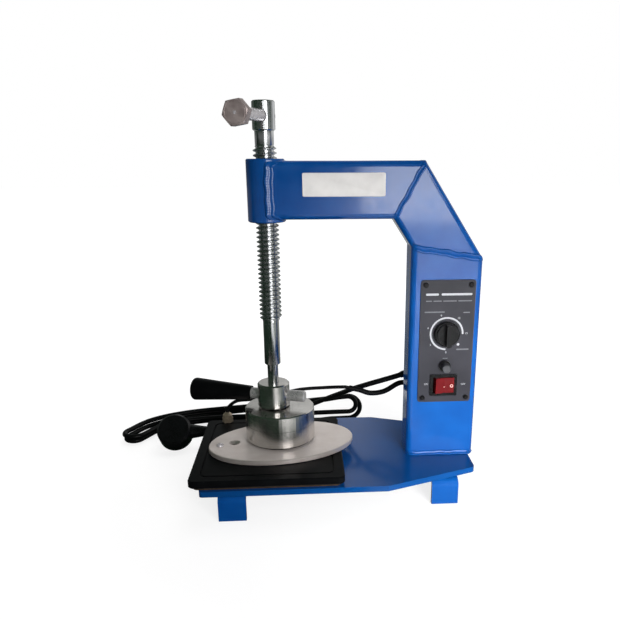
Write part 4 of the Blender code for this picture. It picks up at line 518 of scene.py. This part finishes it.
outer_shoulder_x = SHOULDER_X + 2 * ARM_HALF_HEIGHT * math.tan(half_turn)
knee_inner = (ARM_MIDDLE - ARM_HALF_HEIGHT
              - (COLUMN_X - COLUMN_HALF_WIDTH - SHOULDER_X) * math.tan(DIAGONAL_SLOPE))
knee_outer = (ARM_MIDDLE + ARM_HALF_HEIGHT
              - (COLUMN_X + COLUMN_HALF_WIDTH - outer_shoulder_x) * math.tan(DIAGONAL_SLOPE))
knee_path, knee_ways = [], []
for a, b, way_a, way_b in around_section(COLUMN_HALF_WIDTH, TUBE_HALF_DEPTH):
    share = (a + COLUMN_HALF_WIDTH) / (2 * COLUMN_HALF_WIDTH)
    knee_path.append(spot(COLUMN_X + a, b, knee_inner + (knee_outer - knee_inner) * share))
    knee_ways.append(Vector((way_a * KNEE_OUT_X, way_b, way_a * KNEE_OUT_Z)))
bead("knee_weld", knee_path, knee_ways, 4.0, 2.2, closed=True, fold=0.5)

foot_path, foot_ways = [], []
for a, b, way_a, way_b in around_section(COLUMN_HALF_WIDTH - FOOT_BEAD_IN, TUBE_HALF_DEPTH + FOOT_BEAD_OUT,
                                         FOOT_BEAD_CORNER):
    foot_path.append(spot(COLUMN_X + a, b, BASE_TOP + FOOT_BEAD_OUT))
    foot_ways.append(Vector((way_a, way_b, 1)))
bead("column_foot_weld", foot_path, foot_ways, 3.3, 1.7, closed=True, edge_share=0.12)

for label, x, reach in STRAPS:
    for side in (-1, 1):
        beside = x + side * (FOOT_BAR_WIDTH / 2 + STRAP_BEAD_OUT)
        for end in (-1, 1):
            run = [spot(beside, end * (reach - STRAP_BEAD_STEP * part), FOOT_HEIGHT - STRAP_BEAD_OUT)
                   for part in range(STRAP_BEAD_POINTS)]
            bead(f"{label}_strap_weld_{2 * (side > 0) + (end > 0) + 1}", run,
                 [Vector((side, 0, -1))] * len(run), 2.2, 1.3, edge_share=1)


# Plate on the arm: bare anodised aluminium with a raised rim, glued on. It is pale, with a brushed grain
# that runs along it. The rim is rows of width and rise, from the edge inwards.
PLATE_X = 82.3
PLATE_Z = 348
PLATE_HALF_LENGTH = 42.2
PLATE_HALF_HEIGHT = 10.6
PLATE_CORNER = 1.4
PLATE_CORNER_STEPS = 4
PLATE_PROUD = 0.42
PLATE_RIM = ((0.3, 0.1), (0.8, 0), (0.25, -0.16))
GLUE = 0.04
anodised = finish("brushed_anodised_plate", ("d6d4d2", "e3e1df"), 0.6, 0.0, patch=15, grain=0.5,
                  depth=0.004, stretch=(0.05, 1, 1), Specular_IOR_Level=0.2)


def vertices(parts):
    """The vertices among parts of a mesh."""
    return [part for part in parts if isinstance(part, bmesh.types.BMVert)]


arm_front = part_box("arm_tube")[0].y / MM
shape = bmesh.new()
outline = []
for side_x, side_z, start in ROUND_CORNERS:
    for step in range(PLATE_CORNER_STEPS + 1):
        angle = math.radians(start + 90 * step / PLATE_CORNER_STEPS)
        outline.append(shape.verts.new(spot(
            PLATE_X + side_x * PLATE_HALF_LENGTH + PLATE_CORNER * math.cos(angle), arm_front + GLUE,
            PLATE_Z + side_z * PLATE_HALF_HEIGHT + PLATE_CORNER * math.sin(angle))))
back = shape.faces.new(outline)
grown = bmesh.ops.extrude_face_region(shape, geom=[back])["geom"]
bmesh.ops.translate(shape, verts=vertices(grown), vec=(0, -(PLATE_PROUD + GLUE) * MM, 0))
front = [part for part in grown if isinstance(part, bmesh.types.BMFace)]
for width, rise in PLATE_RIM:
    bmesh.ops.recalc_face_normals(shape, faces=shape.faces)
    bmesh.ops.inset_region(shape, faces=front, thickness=width * MM, depth=rise * MM, use_boundary=True,
                           use_even_offset=True)
piece("arm_plate", shape, anodised, "frame")


# Spindle: turned steel, hard chromed, with a right-hand thread of 5 mm pitch between its shank and its neck.
# It is mirror bright, dulled by fine turning rings that draw each light out along it, and runs in a bush of
# bronze.
SPINDLE_BOTTOM = 118.9
SHANK_BOTTOM = 147.7
THREAD_BOTTOM = 199.7
THREAD_TOP = 387.4
NECK_TOP = 401.6
SPIGOT_TOP = 407.6
TENON_RADIUS = 6.2
SHANK_RADIUS = 9.2
CORE_RADIUS = 9.6
FLANK_RADIUS = 11.6
ROUNDED_RADIUS = 12.2
CREST_RADIUS = 12.5
NECK_RADIUS = 10
SPIGOT_RADIUS = 6
EDGE = 0.7
PITCH = 5.0
TURNS = 41
LEAD_IN_TURNS = 1.6
TURN_STEPS = 48
RUN_OUT = 3
FILL_GAP = 0.3
SHANK_TAPER = 2.2
chrome = finish("hard_chromed_steel", ("cfd0d2", "e2e3e5"), 0.19, 1.0, patch=14, grain=0.7, depth=0.001,
                turned_about=(axis_x, 0), Anisotropic=0.85)
bronze = finish("cast_bronze", ("8a6534", "a87f48"), 0.32, 1.0, patch=6, grain=0.6, depth=0.004,
                turned_about=(axis_x, 0))
dress(chrome, "spindle_head")
dress(bronze, "threaded_bush", "thrust_washer")


def turn(shape, profile, rise=0.0, turns=1):
    """Turn (radius, height) points in millimetres about the spindle's axis, with a rise for each turn."""
    corners = [shape.verts.new(spot(radius, 0, height)) for radius, height in profile]
    sides = [shape.edges.new(pair) for pair in zip(corners, corners[1:])]
    bmesh.ops.spin(shape, geom=corners + sides, cent=spot(0, 0, 0), axis=(0, 0, 1),
                   dvec=(0, 0, rise / TURN_STEPS * MM), angle=math.tau, steps=TURN_STEPS,
                   use_merge=not rise, use_normal_flip=False, use_duplicate=False)
    first = shape.verts[:] + shape.edges[:] + shape.faces[:]
    for number in range(1, turns):
        copy = bmesh.ops.duplicate(shape, geom=first)["geom"]
        bmesh.ops.translate(shape, verts=vertices(copy), vec=(0, 0, number * rise * MM))
    bmesh.ops.remove_doubles(shape, verts=shape.verts, dist=0.002 * MM)


# The thread is one tooth turned with a rise, cut level at both ends and let down into the core there. The
# tooth is told as shares of the pitch with their radii, and the plain body fills it.
shape = bmesh.new()
tooth = ((0.0, CORE_RADIUS), (0.24, CORE_RADIUS), (0.42, FLANK_RADIUS), (0.47, ROUNDED_RADIUS),
         (0.53, CREST_RADIUS), (0.68, CREST_RADIUS), (0.74, ROUNDED_RADIUS), (0.79, FLANK_RADIUS),
         (1.0, CORE_RADIUS))
start = THREAD_BOTTOM - LEAD_IN_TURNS * PITCH
turn(shape, [(radius, start + PITCH * share) for share, radius in tooth], PITCH, TURNS)
for height, way in ((THREAD_BOTTOM, -1), (THREAD_TOP, 1)):
    bmesh.ops.bisect_plane(shape, geom=shape.verts[:] + shape.edges[:] + shape.faces[:], dist=0.0001 * MM,
                           plane_co=spot(0, 0, height), plane_no=(0, 0, way), clear_outer=True)
for vert in shape.verts:
    height = vert.co.z / MM
    full = max(0.0, min(1.0, (height - THREAD_BOTTOM) / RUN_OUT, (THREAD_TOP - height) / RUN_OUT))
    from_axis = Vector((vert.co.x - axis_x, vert.co.y, 0))
    radius = from_axis.length / MM
    vert.co -= from_axis * ((radius - CORE_RADIUS) * (1 - full) / radius)
bmesh.ops.holes_fill(shape, edges=[edge for edge in shape.edges if edge.is_boundary], sides=0)
inner_radius = CORE_RADIUS - FILL_GAP
turn(shape, ((0, SPINDLE_BOTTOM), (TENON_RADIUS, SPINDLE_BOTTOM), (TENON_RADIUS, SHANK_BOTTOM - EDGE),
             (TENON_RADIUS + EDGE, SHANK_BOTTOM), (SHANK_RADIUS - EDGE, SHANK_BOTTOM),
             (SHANK_RADIUS, SHANK_BOTTOM + EDGE), (SHANK_RADIUS, THREAD_BOTTOM - SHANK_TAPER),
             (CORE_RADIUS, THREAD_BOTTOM), (inner_radius, THREAD_BOTTOM + 0.5),
             (inner_radius, THREAD_TOP - 0.4), (CORE_RADIUS, THREAD_TOP), (NECK_RADIUS, THREAD_TOP + 0.8),
             (NECK_RADIUS, NECK_TOP), (SPIGOT_RADIUS, NECK_TOP), (SPIGOT_RADIUS, SPIGOT_TOP),
             (0, SPIGOT_TOP)))
screw = piece("lead_screw", shape, chrome, "spindle_group", sharp=50)
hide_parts("spindle")


# Tee bar: ground and chromed rod that slides through the head, with a stop on one end and on the other a
# blackened hexagon. Scale dulls the hexagon, which has the ring of its chamfer and a bright centre mark.
TEE_Z = 416.6
TEE_REACH = 95
TEE_TURN = math.radians(12.4)
TEE_DROOP = math.radians(1.6)
MARK_STEPS = 48
MARK_RISE = 0.14
black_steel = finish("blackened_steel", ("938583", "b3a6a3"), 0.42, 0.5, patch=7, grain=0.9, depth=0.03)
satin = finish("satin_chrome", ("d3ced2", "e6e1e4"), 0.26, 0.55, patch=14, grain=0.7, depth=0.002)
dress(satin, "tee_bar", "tee_bar_stop")
dress(black_steel, "tee_bar_hex_end")
tee_way = Vector((math.sin(TEE_TURN) * math.cos(TEE_DROOP), math.cos(TEE_TURN) * math.cos(TEE_DROOP),
                  math.sin(TEE_DROOP)))
hex_face = spot(0, 0, TEE_Z) - tee_way * TEE_REACH * MM
sideways = tee_way.cross(Vector((0, 0, 1))).normalized()
upright = sideways.cross(tee_way)
for name, radius, half_width, look in (("hex_chamfer_ring", 9.7, 0.3, black_steel),
                                       ("hex_centre_mark", 0.9, 0.7, satin)):
    ring = []
    for step in range(MARK_STEPS):
        angle = math.tau * step / MARK_STEPS
        ring.append(hex_face + (sideways * math.cos(angle) + upright * math.sin(angle)) * radius * MM)
    dome = [(half_width * MM * a, MARK_RISE * MM * b)
            for a, b in ((1, -1), (-1, -1), (-1, 0.2), (0, 1), (1, 0.2))]
    sweep(name, ring, [-tee_way] * MARK_STEPS, lambda index, points=dome: points, look, "tee_bar_group",
          closed=True)


# Press head: a cap on a foot, turned and faced from steel, and the hub that takes the lever. The turning
# marks draw every light out across them. Where the cap and foot face downwards, as at the undercut edge,
# near-black shade is painted into their colour. The lever is a rod, plated with zinc, with a dipped rubber
# grip, deep black.
PRESS_SHIFT = 6.5
turned = finish("turned_steel", ("cdcac7", "e4e1de"), 0.21, 1.0, patch=18, grain=0.9, depth=0.0008,
                turned_about=(axis_x + PRESS_SHIFT * MM, 0), swing=0.05, Anisotropic=0.85)
turned_hub = finish("turned_hub_steel", ("c9c6c3", "dddad7"), 0.22, 1.0, patch=14, grain=0.8, depth=0.0015,
                    turned_about=(axis_x, 0), Anisotropic=0.7)
zinc = finish("zinc_plated_steel", ("c4c2c3", "dad7d6"), 0.3, 0.82, patch=9, grain=0.6, depth=0.002)
rubber = finish("dipped_rubber", ("020203", "050506"), 0.4, patch=14, grain=1.0, depth=0.02,
                Specular_IOR_Level=0.15)
tree = turned.node_tree
base = tree.nodes["Principled BSDF"].inputs["Base Color"]
# Painted shade: where the turned steel faces downwards, its colour goes to near black.
way = add(tree, "ShaderNodeSeparateXYZ", {0: add(tree, "ShaderNodeNewGeometry").outputs["Normal"]})
unshaded_share = add(tree, "ShaderNodeMapRange", {"Value": way.outputs[2], "From Min": -0.5, "From Max": -0.1})
painted_underside_shade = add(tree, "ShaderNodeMix", {0: unshaded_share, 6: (0.012, 0.012, 0.012, 1), 7: base.links[0].from_socket},
             data_type='RGBA')
tree.links.new(painted_underside_shade.outputs[2], base)
dress(turned, "press_cap", "press_foot")
dress(turned_hub, "hub_block")
dress(black_steel, "press_screw_1", "press_screw_2", "press_screw_3")
dress(zinc, "lever_rod")
dress(rubber, "lever_grip")


# Heater: a cast plate with a baked non-stick coating, nearly black and matt, on pressed fibre board that is
# dark brown and dry. Zinc-plated bolts hold it, and a gland of dull nickel over brass takes its lead.
coating = finish("baked_nonstick_coating", ("040405", "08090b"), 0.5, patch=16, grain=0.6, depth=0.01,
                 Specular_IOR_Level=0.12)
fibre = finish("pressed_fibre_board", ("2b221a", "3c3126"), 0.9, patch=6, grain=1.2, depth=0.08)
element = finish("oxidised_heating_element", ("242424", "343434"), 0.6, 0.9, patch=4, grain=0.8,
                 depth=0.02)
nickel = finish("nickel_plated_brass", ("b5a48c", "cfc0a9"), 0.34, 0.7, patch=5, grain=0.6, depth=0.006)
dress(coating, "heater_plate")
dress(fibre, "insulation_board")
dress(element, "heater_element")
dress(nickel, "heater_gland")
dress(zinc, "heater_bolt_1", "heater_bolt_2", "heater_bolt_3", "heater_bolt_4")


# Oval plate: milled aluminium with its screw, laid loose on the heater. A soft satin with strokes along it,
# drawn coarser than the real ones, to show; the cut edge is barer and mirrors more.
milled = finish("milled_aluminium", ("dbd0ca", "e9e0db"), 0.42, 0.45, patch=20, grain=0.8, depth=0.006,
                stretch=(0.04, 1, 1), swing=0.05)
tree = milled.node_tree
way = add(tree, "ShaderNodeSeparateXYZ", {0: add(tree, "ShaderNodeNewGeometry").outputs["Normal"]})
bare = add(tree, "ShaderNodeMapRange", {"Value": way.outputs[2], "From Min": 0.75, "From Max": 0.95,
                                        "To Min": 0.85, "To Max": 0.45})
tree.links.new(bare.outputs[0], tree.nodes["Principled BSDF"].inputs["Metallic"])
dress(milled, "oval_plate")
dress(satin, "oval_plate_screw")


# Control panel: steel sheet with a satin powder coat, held by four black screws. It carries the timer's
# moulded knob, the fuse and the switch with its glossy red rocker.
powder = finish("powder_coat", ("232328", "2b2b31"), 0.42, patch=30, grain=0.9, depth=0.01,
                Specular_IOR_Level=0.25)
black_zinc = finish("black_zinc_screws", ("1c1b1d", "2b2a2c"), 0.4, 0.8, patch=3, grain=0.5, depth=0.004)
grey_moulded = finish("grey_moulded_abs", ("2c2d30", "3b3c40"), 0.4, patch=6, grain=0.7, depth=0.012)
red = finish("red_moulded_polycarbonate", ("49060b", "58090f"), 0.16, patch=12, grain=0.9, depth=0.004,
             Coat_Weight=0.4, Coat_Roughness=0.05)
glass = finish("drawn_fuse_glass", ("b8c4c4", "c8d2d2"), 0.08, patch=4, grain=0.8, depth=0.001,
               swing=0.02, Transmission_Weight=0.9)
dress(powder, "control_panel")
dress(black_zinc, "panel_screw_1", "panel_screw_2", "panel_screw_3", "panel_screw_4")
dress(moulded, "timer_body", "timer_knob", "fuse_holder", "switch_housing")
dress(zinc, "timer_shaft")
dress(grey_moulded, "fuse_cap")
dress(red, "rocker_button")
dress(glass, "fuse_cartridge")


# Printed marks on the panel and the rocker: screen-printed inks, a little proud of what carries them. A bar
# is its two ends, its place up the panel and its thickness; a dot is its centre and radius, and a ring has
# the width of its line too.
INK_PROUD = 0.06
INK_BODY = 0.1
LETTER_PROUD = 0.02
CAP_SHARE = 0.72
DIAL_X = 197.6
DIAL_Z = 185.1
DIAL_RADIUS = 18.3
DIAL_LINE = 1.8
DIAL_START = 2
DIAL_END = 272
DIAL_DOT = (211.3, 172.3, 1.5)
DIAL_NUMBERS = (("0", 0), ("3", 54), ("6", 108), ("9", 162), ("12", 216), ("15", 270))
NUMBER_REACH_X = 22.4
NUMBER_REACH_Z = 22.0
NUMBER_HEIGHT = 2.3
SWITCH_WORDS = (("ON", 176.4, 125.2), ("OFF", 219.6, 124.2))
WORD_HEIGHT = 2.2
TITLE_BARS = ((172.6, 187.0, 230.2, 2.4), (190.0, 224.6, 230.2, 2.4))
SMALL_BARS = ((172.7, 179.5, 222.7, 1.2), (181.0, 190.5, 222.7, 1.2), (192.0, 207.5, 222.7, 1.2),
              (209.0, 224.6, 222.7, 1.2), (171.6, 194.4, 210.2, 1.5), (215.4, 223.0, 209.4, 1.3),
              (209.4, 223.8, 166.4, 1.7), (194.3, 200.0, 156.0, 0.9))
ROCKER_BAR = (196.0, 197.8, 122.4, 0.8)
ROCKER_RING = (205.6, 123.4, 1.5, 0.8)
ink = finish("printed_ink", ("97989d", "a9aaaf"), 0.5, patch=2, grain=0.4, depth=0.003)
pale_ink = finish("thin_printed_ink", ("515157", "5e5e64"), 0.5, patch=2, grain=0.4, depth=0.003)
pink_ink = finish("rocker_ink", ("b98a86", "c79c95"), 0.4, patch=2, grain=0.4, depth=0.003)
panel_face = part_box("control_panel")[0].y / MM


def flats(name, outlines, look, body="frame", on=None):
    """Flat marks from outlines of (x, z) in millimetres, on the panel's face or laid on a node."""
    surface = None
    if on:
        mesh = nodes[on].data
        surface = BVHTree.FromPolygons([v.co for v in mesh.vertices], [p.vertices for p in mesh.polygons])
    shape = bmesh.new()
    for outline in outlines:
        corners = []
        for x, z in outline:
            y = panel_face
            if surface:
                y = surface.ray_cast(spot(x, -200, z), Vector((0, 1, 0)))[0].y / MM
            corners.append(shape.verts.new(spot(x, y - INK_PROUD, z)))
        grown = bmesh.ops.extrude_face_region(shape, geom=[shape.faces.new(corners)])["geom"]
        bmesh.ops.translate(shape, verts=vertices(grown), vec=(0, INK_BODY * MM, 0))
    return piece(name, shape, look, body)


def bar(left, right, z, thickness):
    """Outline of a bar with rounded ends."""
    radius = thickness / 2
    outline = []
    for centre, start in ((right - radius, -90), (left + radius, 90)):
        for step in range(9):
            angle = math.radians(start + 180 * step / 8)
            outline.append((centre + radius * math.cos(angle), z + radius * math.sin(angle)))
    return outline


def disc(x, z, radius, count=20):
    """Outline of a round dot."""
    return [(x + radius * math.cos(math.tau * step / count), z + radius * math.sin(math.tau * step / count))
            for step in range(count)]


def arc(x, z, radius, width, start, end, parts=72):
    """Outlines of the quads of an arc; angles in degrees clockwise from straight down."""
    quads = []
    for part in range(parts):
        corners = []
        for at, edge in ((part, -1), (part + 1, -1), (part + 1, 1), (part, 1)):
            angle = math.radians(270 - start - (end - start) * at / parts)
            reach = radius + edge * width / 2
            corners.append((x + reach * math.cos(angle), z + reach * math.sin(angle)))
        quads.append(corners)
    return quads


def letters(name, words, height):
    """Generic lettering on the panel, each word centred on its place, made one mesh there."""
    shape = bmesh.new()
    for word, x, z in words:
        written = bpy.data.objects.new(name, bpy.data.curves.new(name, 'FONT'))
        bpy.context.scene.collection.objects.link(written)
        written.data.body = word
        written.data.size = height / CAP_SHARE * MM
        written.data.extrude = INK_BODY / 2 * MM
        written.data.align_x = 'CENTER'
        written.data.align_y = 'CENTER'
        ready = written.evaluated_get(bpy.context.evaluated_depsgraph_get())
        mesh = bpy.data.meshes.new_from_object(ready)
        bpy.data.objects.remove(written)
        mesh.transform(Matrix.Translation(spot(x, panel_face - LETTER_PROUD, z))
                       @ Matrix.Rotation(math.pi / 2, 4, 'X'))
        shape.from_mesh(mesh)
        bpy.data.meshes.remove(mesh)
    bmesh.ops.remove_doubles(shape, verts=shape.verts, dist=0.0005 * MM)
    return piece(name, shape, ink, "frame")


scale = arc(DIAL_X, DIAL_Z, DIAL_RADIUS, DIAL_LINE, DIAL_START, DIAL_END)
flats("dial_scale", scale + [disc(*DIAL_DOT)], ink)
number_places = []
for number, about in DIAL_NUMBERS:
    angle = math.radians(270 - about)
    number_places.append((number, DIAL_X + NUMBER_REACH_X * math.cos(angle),
                          DIAL_Z + NUMBER_REACH_Z * math.sin(angle)))
letters("dial_numbers", number_places, NUMBER_HEIGHT)
letters("switch_words", SWITCH_WORDS, WORD_HEIGHT)
flats("title_bars", [bar(*row) for row in TITLE_BARS], ink)
flats("small_bars", [bar(*row) for row in SMALL_BARS], pale_ink)
flats("rocker_marks", [bar(*ROCKER_BAR)] + arc(*ROCKER_RING, 0, 360, 20), pink_ink, "rocker",
      on="rocker_button")


# Floor: white paper that keeps the machine's shadow. For the camera it glows, a little less round the
# machine, which paints a faint shade there. What mirrors it sees dark green with a glow: a bright wedge that
# opens from the spindle to the front and right, and fainter light far in front and behind. Its lengths are
# in metres.
FLOOR_HALF_SIZE = 8
floor_look = bpy.data.materials.new("floor")
floor_look.use_nodes = True
tree = floor_look.node_tree
shader = tree.nodes["Principled BSDF"]
shader.inputs["Roughness"].default_value = 0.9
shader.inputs["Specular IOR Level"].default_value = 0
shader.inputs["Emission Color"].default_value = (1, 1, 1, 1)
path = add(tree, "ShaderNodeLightPath")
to_eye = add(tree, "ShaderNodeMath",
             {0: path.outputs["Is Camera Ray"], 1: path.outputs["Is Transmission Ray"]}, operation='MAXIMUM')
places = add(tree, "ShaderNodeTexCoord").outputs["Object"]
parts = add(tree, "ShaderNodeSeparateXYZ", {0: places})
ahead = add(tree, "ShaderNodeMath", {0: parts.outputs[1], 1: -1}, operation='MULTIPLY')
ahead = add(tree, "ShaderNodeMath", {0: ahead, 1: 0.02}, operation='MAXIMUM')
# A place's bearing is how far it lies to the right for each metre in front, from the spindle, and close by
# from a start further right.
start = add(tree, "ShaderNodeMapRange", {"Value": ahead, "From Min": 0.18, "From Max": 0.3,
                                         "To Min": axis_x + 0.1, "To Max": axis_x})
aside = add(tree, "ShaderNodeMath", {0: parts.outputs[0], 1: start}, operation='SUBTRACT')
bearing = add(tree, "ShaderNodeMath", {0: aside, 1: ahead}, operation='DIVIDE')
far = add(tree, "ShaderNodeMapRange", {"Value": parts.outputs[1], "From Min": -1.6, "From Max": -0.5,
                                       "To Min": 0.6, "To Max": 0.01})
lit = add(tree, "ShaderNodeMapRange", {"Value": bearing, "From Min": -0.05, "From Max": 0.1,
                                       "To Min": 0.3, "To Max": 1.0})
far = add(tree, "ShaderNodeMath", {0: far, 1: lit}, operation='MULTIPLY')
rise = add(tree, "ShaderNodeMapRange", {"Value": bearing, "From Min": 0.0, "From Max": 0.1, "To Max": 0.95})
fall = add(tree, "ShaderNodeMapRange", {"Value": bearing, "From Min": 0.5, "From Max": 0.7,
                                        "To Min": 1.0, "To Max": 0.3})
nearer = add(tree, "ShaderNodeMapRange", {"Value": ahead, "From Min": 0.2, "From Max": 0.36,
                                          "To Min": 0.85, "To Max": 1.0})
wedge = add(tree, "ShaderNodeMath", {0: rise, 1: fall}, operation='MULTIPLY')
wedge = add(tree, "ShaderNodeMath", {0: wedge, 1: nearer}, operation='MULTIPLY')
beyond = add(tree, "ShaderNodeMapRange", {"Value": parts.outputs[1], "From Min": 0.2, "From Max": 0.9,
                                          "To Max": 0.22})
glow = add(tree, "ShaderNodeMath", {0: far, 1: wedge}, operation='ADD')
glow = add(tree, "ShaderNodeMath", {0: glow, 1: beyond}, operation='ADD')
mirrored = add(tree, "ShaderNodeMath", {0: glow, 1: path.outputs["Is Glossy Ray"]}, operation='MULTIPLY')
distance = add(tree, "ShaderNodeVectorMath", {0: places}, operation='LENGTH').outputs["Value"]
# Painted shade: the glow that the camera sees falls from 1.0 far off to 0.8 round the machine.
paper = add(tree, "ShaderNodeMapRange", {"Value": distance, "From Min": 0.25, "From Max": 0.7,
                                         "To Min": 0.8, "To Max": 1.0})
seen = add(tree, "ShaderNodeMath", {0: to_eye, 1: paper}, operation='MULTIPLY')
strength = add(tree, "ShaderNodeMath", {0: mirrored, 1: seen}, operation='ADD')
tree.links.new(strength.outputs[0], shader.inputs["Emission Strength"])
base = add(tree, "ShaderNodeMix", {0: path.outputs["Is Glossy Ray"], 6: (0.3, 0.3, 0.3, 1),
                                   7: (0.01, 0.03, 0.015, 1)}, data_type='RGBA')
tree.links.new(base.outputs[2], shader.inputs["Base Color"])
shape = bmesh.new()
bmesh.ops.create_grid(shape, x_segments=1, y_segments=1, size=FLOOR_HALF_SIZE)
mesh = bpy.data.meshes.new("floor")
shape.to_mesh(mesh)
shape.free()
mesh.materials.append(floor_look)
floor = bpy.data.objects.new("floor", mesh)
bpy.context.scene.collection.objects.link(floor)


# Room: the camera sees it white. What mirrors it sees dark green on the left and above, a pale strip behind,
# and a grey wall on the right that is darker in front.
world = bpy.data.worlds.new("studio")
world.use_nodes = True
bpy.context.scene.world = world
tree = world.node_tree
background = tree.nodes["Background"]
path = add(tree, "ShaderNodeLightPath")
parts = add(tree, "ShaderNodeSeparateXYZ", {0: add(tree, "ShaderNodeTexCoord").outputs["Generated"]})
wall = add(tree, "ShaderNodeMapRange", {"Value": parts.outputs[0], "From Min": 0.34, "From Max": 0.6,
                                        "To Min": 0.0, "To Max": 0.34})
backward = add(tree, "ShaderNodeMapRange", {"Value": parts.outputs[1], "From Min": 0.0, "From Max": 0.35,
                                            "To Min": 0.12, "To Max": 1.7})
wall = add(tree, "ShaderNodeMath", {0: wall, 1: backward}, operation='MULTIPLY')
behind = add(tree, "ShaderNodeMapRange", {"Value": parts.outputs[0], "From Min": -0.2, "From Max": 0.06,
                                          "To Min": 0.06, "To Max": 0.8})
shade = add(tree, "ShaderNodeMapRange", {"Value": parts.outputs[0], "From Min": 0.07, "From Max": 0.15,
                                         "To Min": 0.0, "To Max": 0.7})
behind = add(tree, "ShaderNodeMath", {0: behind, 1: shade}, operation='SUBTRACT')
facing = add(tree, "ShaderNodeMapRange", {"Value": parts.outputs[1], "From Min": 0.1, "From Max": 0.5})
ceiling = add(tree, "ShaderNodeMapRange", {"Value": parts.outputs[2], "From Min": 0.5, "From Max": 0.8,
                                           "To Min": 1.0, "To Max": 0.15})
pale = add(tree, "ShaderNodeMath", {0: behind, 1: facing}, operation='MULTIPLY')
pale = add(tree, "ShaderNodeMath", {0: pale, 1: ceiling}, operation='MULTIPLY')
room = add(tree, "ShaderNodeMath", {0: pale, 1: wall}, operation='ADD')
mirror_tint = add(tree, "ShaderNodeMix", {0: room, 6: (0.012, 0.03, 0.016, 1), 7: (1, 1, 1, 1)},
                  data_type='RGBA')
unlit = add(tree, "ShaderNodeMix",
            {0: path.outputs["Is Diffuse Ray"], 6: (1, 1, 1, 1), 7: (0.1, 0.1, 0.1, 1)}, data_type='RGBA')
tint = add(tree, "ShaderNodeMix", {0: path.outputs["Is Glossy Ray"], 6: unlit.outputs[2],
                                   7: mirror_tint.outputs[2]}, data_type='RGBA')
tree.links.new(tint.outputs[2], background.inputs["Color"])


# Lamps: a window in front on the right, the only one that mirrors show, and soft fills from the front, above
# and behind. A small low one lights the column's foot and the base there.
def lamp(name, place, aim, width, height, power, beam=180, mirrored=False):
    """A soft rectangular lamp in metres and watts that faces its aim, with a beam in degrees."""
    data = bpy.data.lights.new(name, 'AREA')
    data.shape = 'RECTANGLE'
    data.size = width
    data.size_y = height
    data.energy = power
    data.spread = math.radians(beam)
    made = bpy.data.objects.new(name, data)
    bpy.context.scene.collection.objects.link(made)
    made.location = place
    made.rotation_euler = (Vector(aim) - Vector(place)).to_track_quat('-Z', 'Y').to_euler()
    made.visible_camera = False
    made.visible_glossy = mirrored


lamp("window", (0.43, -1.15, 0.42), aim=(0.1, 0, 0.3), width=0.6, height=0.45, power=5, mirrored=True)
lamp("front_fill", (0.45, -1.2, 0.85), aim=(0, 0, 0.2), width=0.9, height=0.6, power=7)
lamp("low_key", (0.24, -0.5, 0.12), aim=(0.16, 0, 0.08), width=0.2, height=0.16, power=0.9, beam=70)
lamp("overhead", (0.2, 0.45, 1.3), aim=(0, 0, 0), width=0.9, height=0.9, power=6)
lamp("back_fill", (-0.3, 1.4, 0.7), aim=(0, 0, 0.15), width=1.2, height=0.8, power=7)
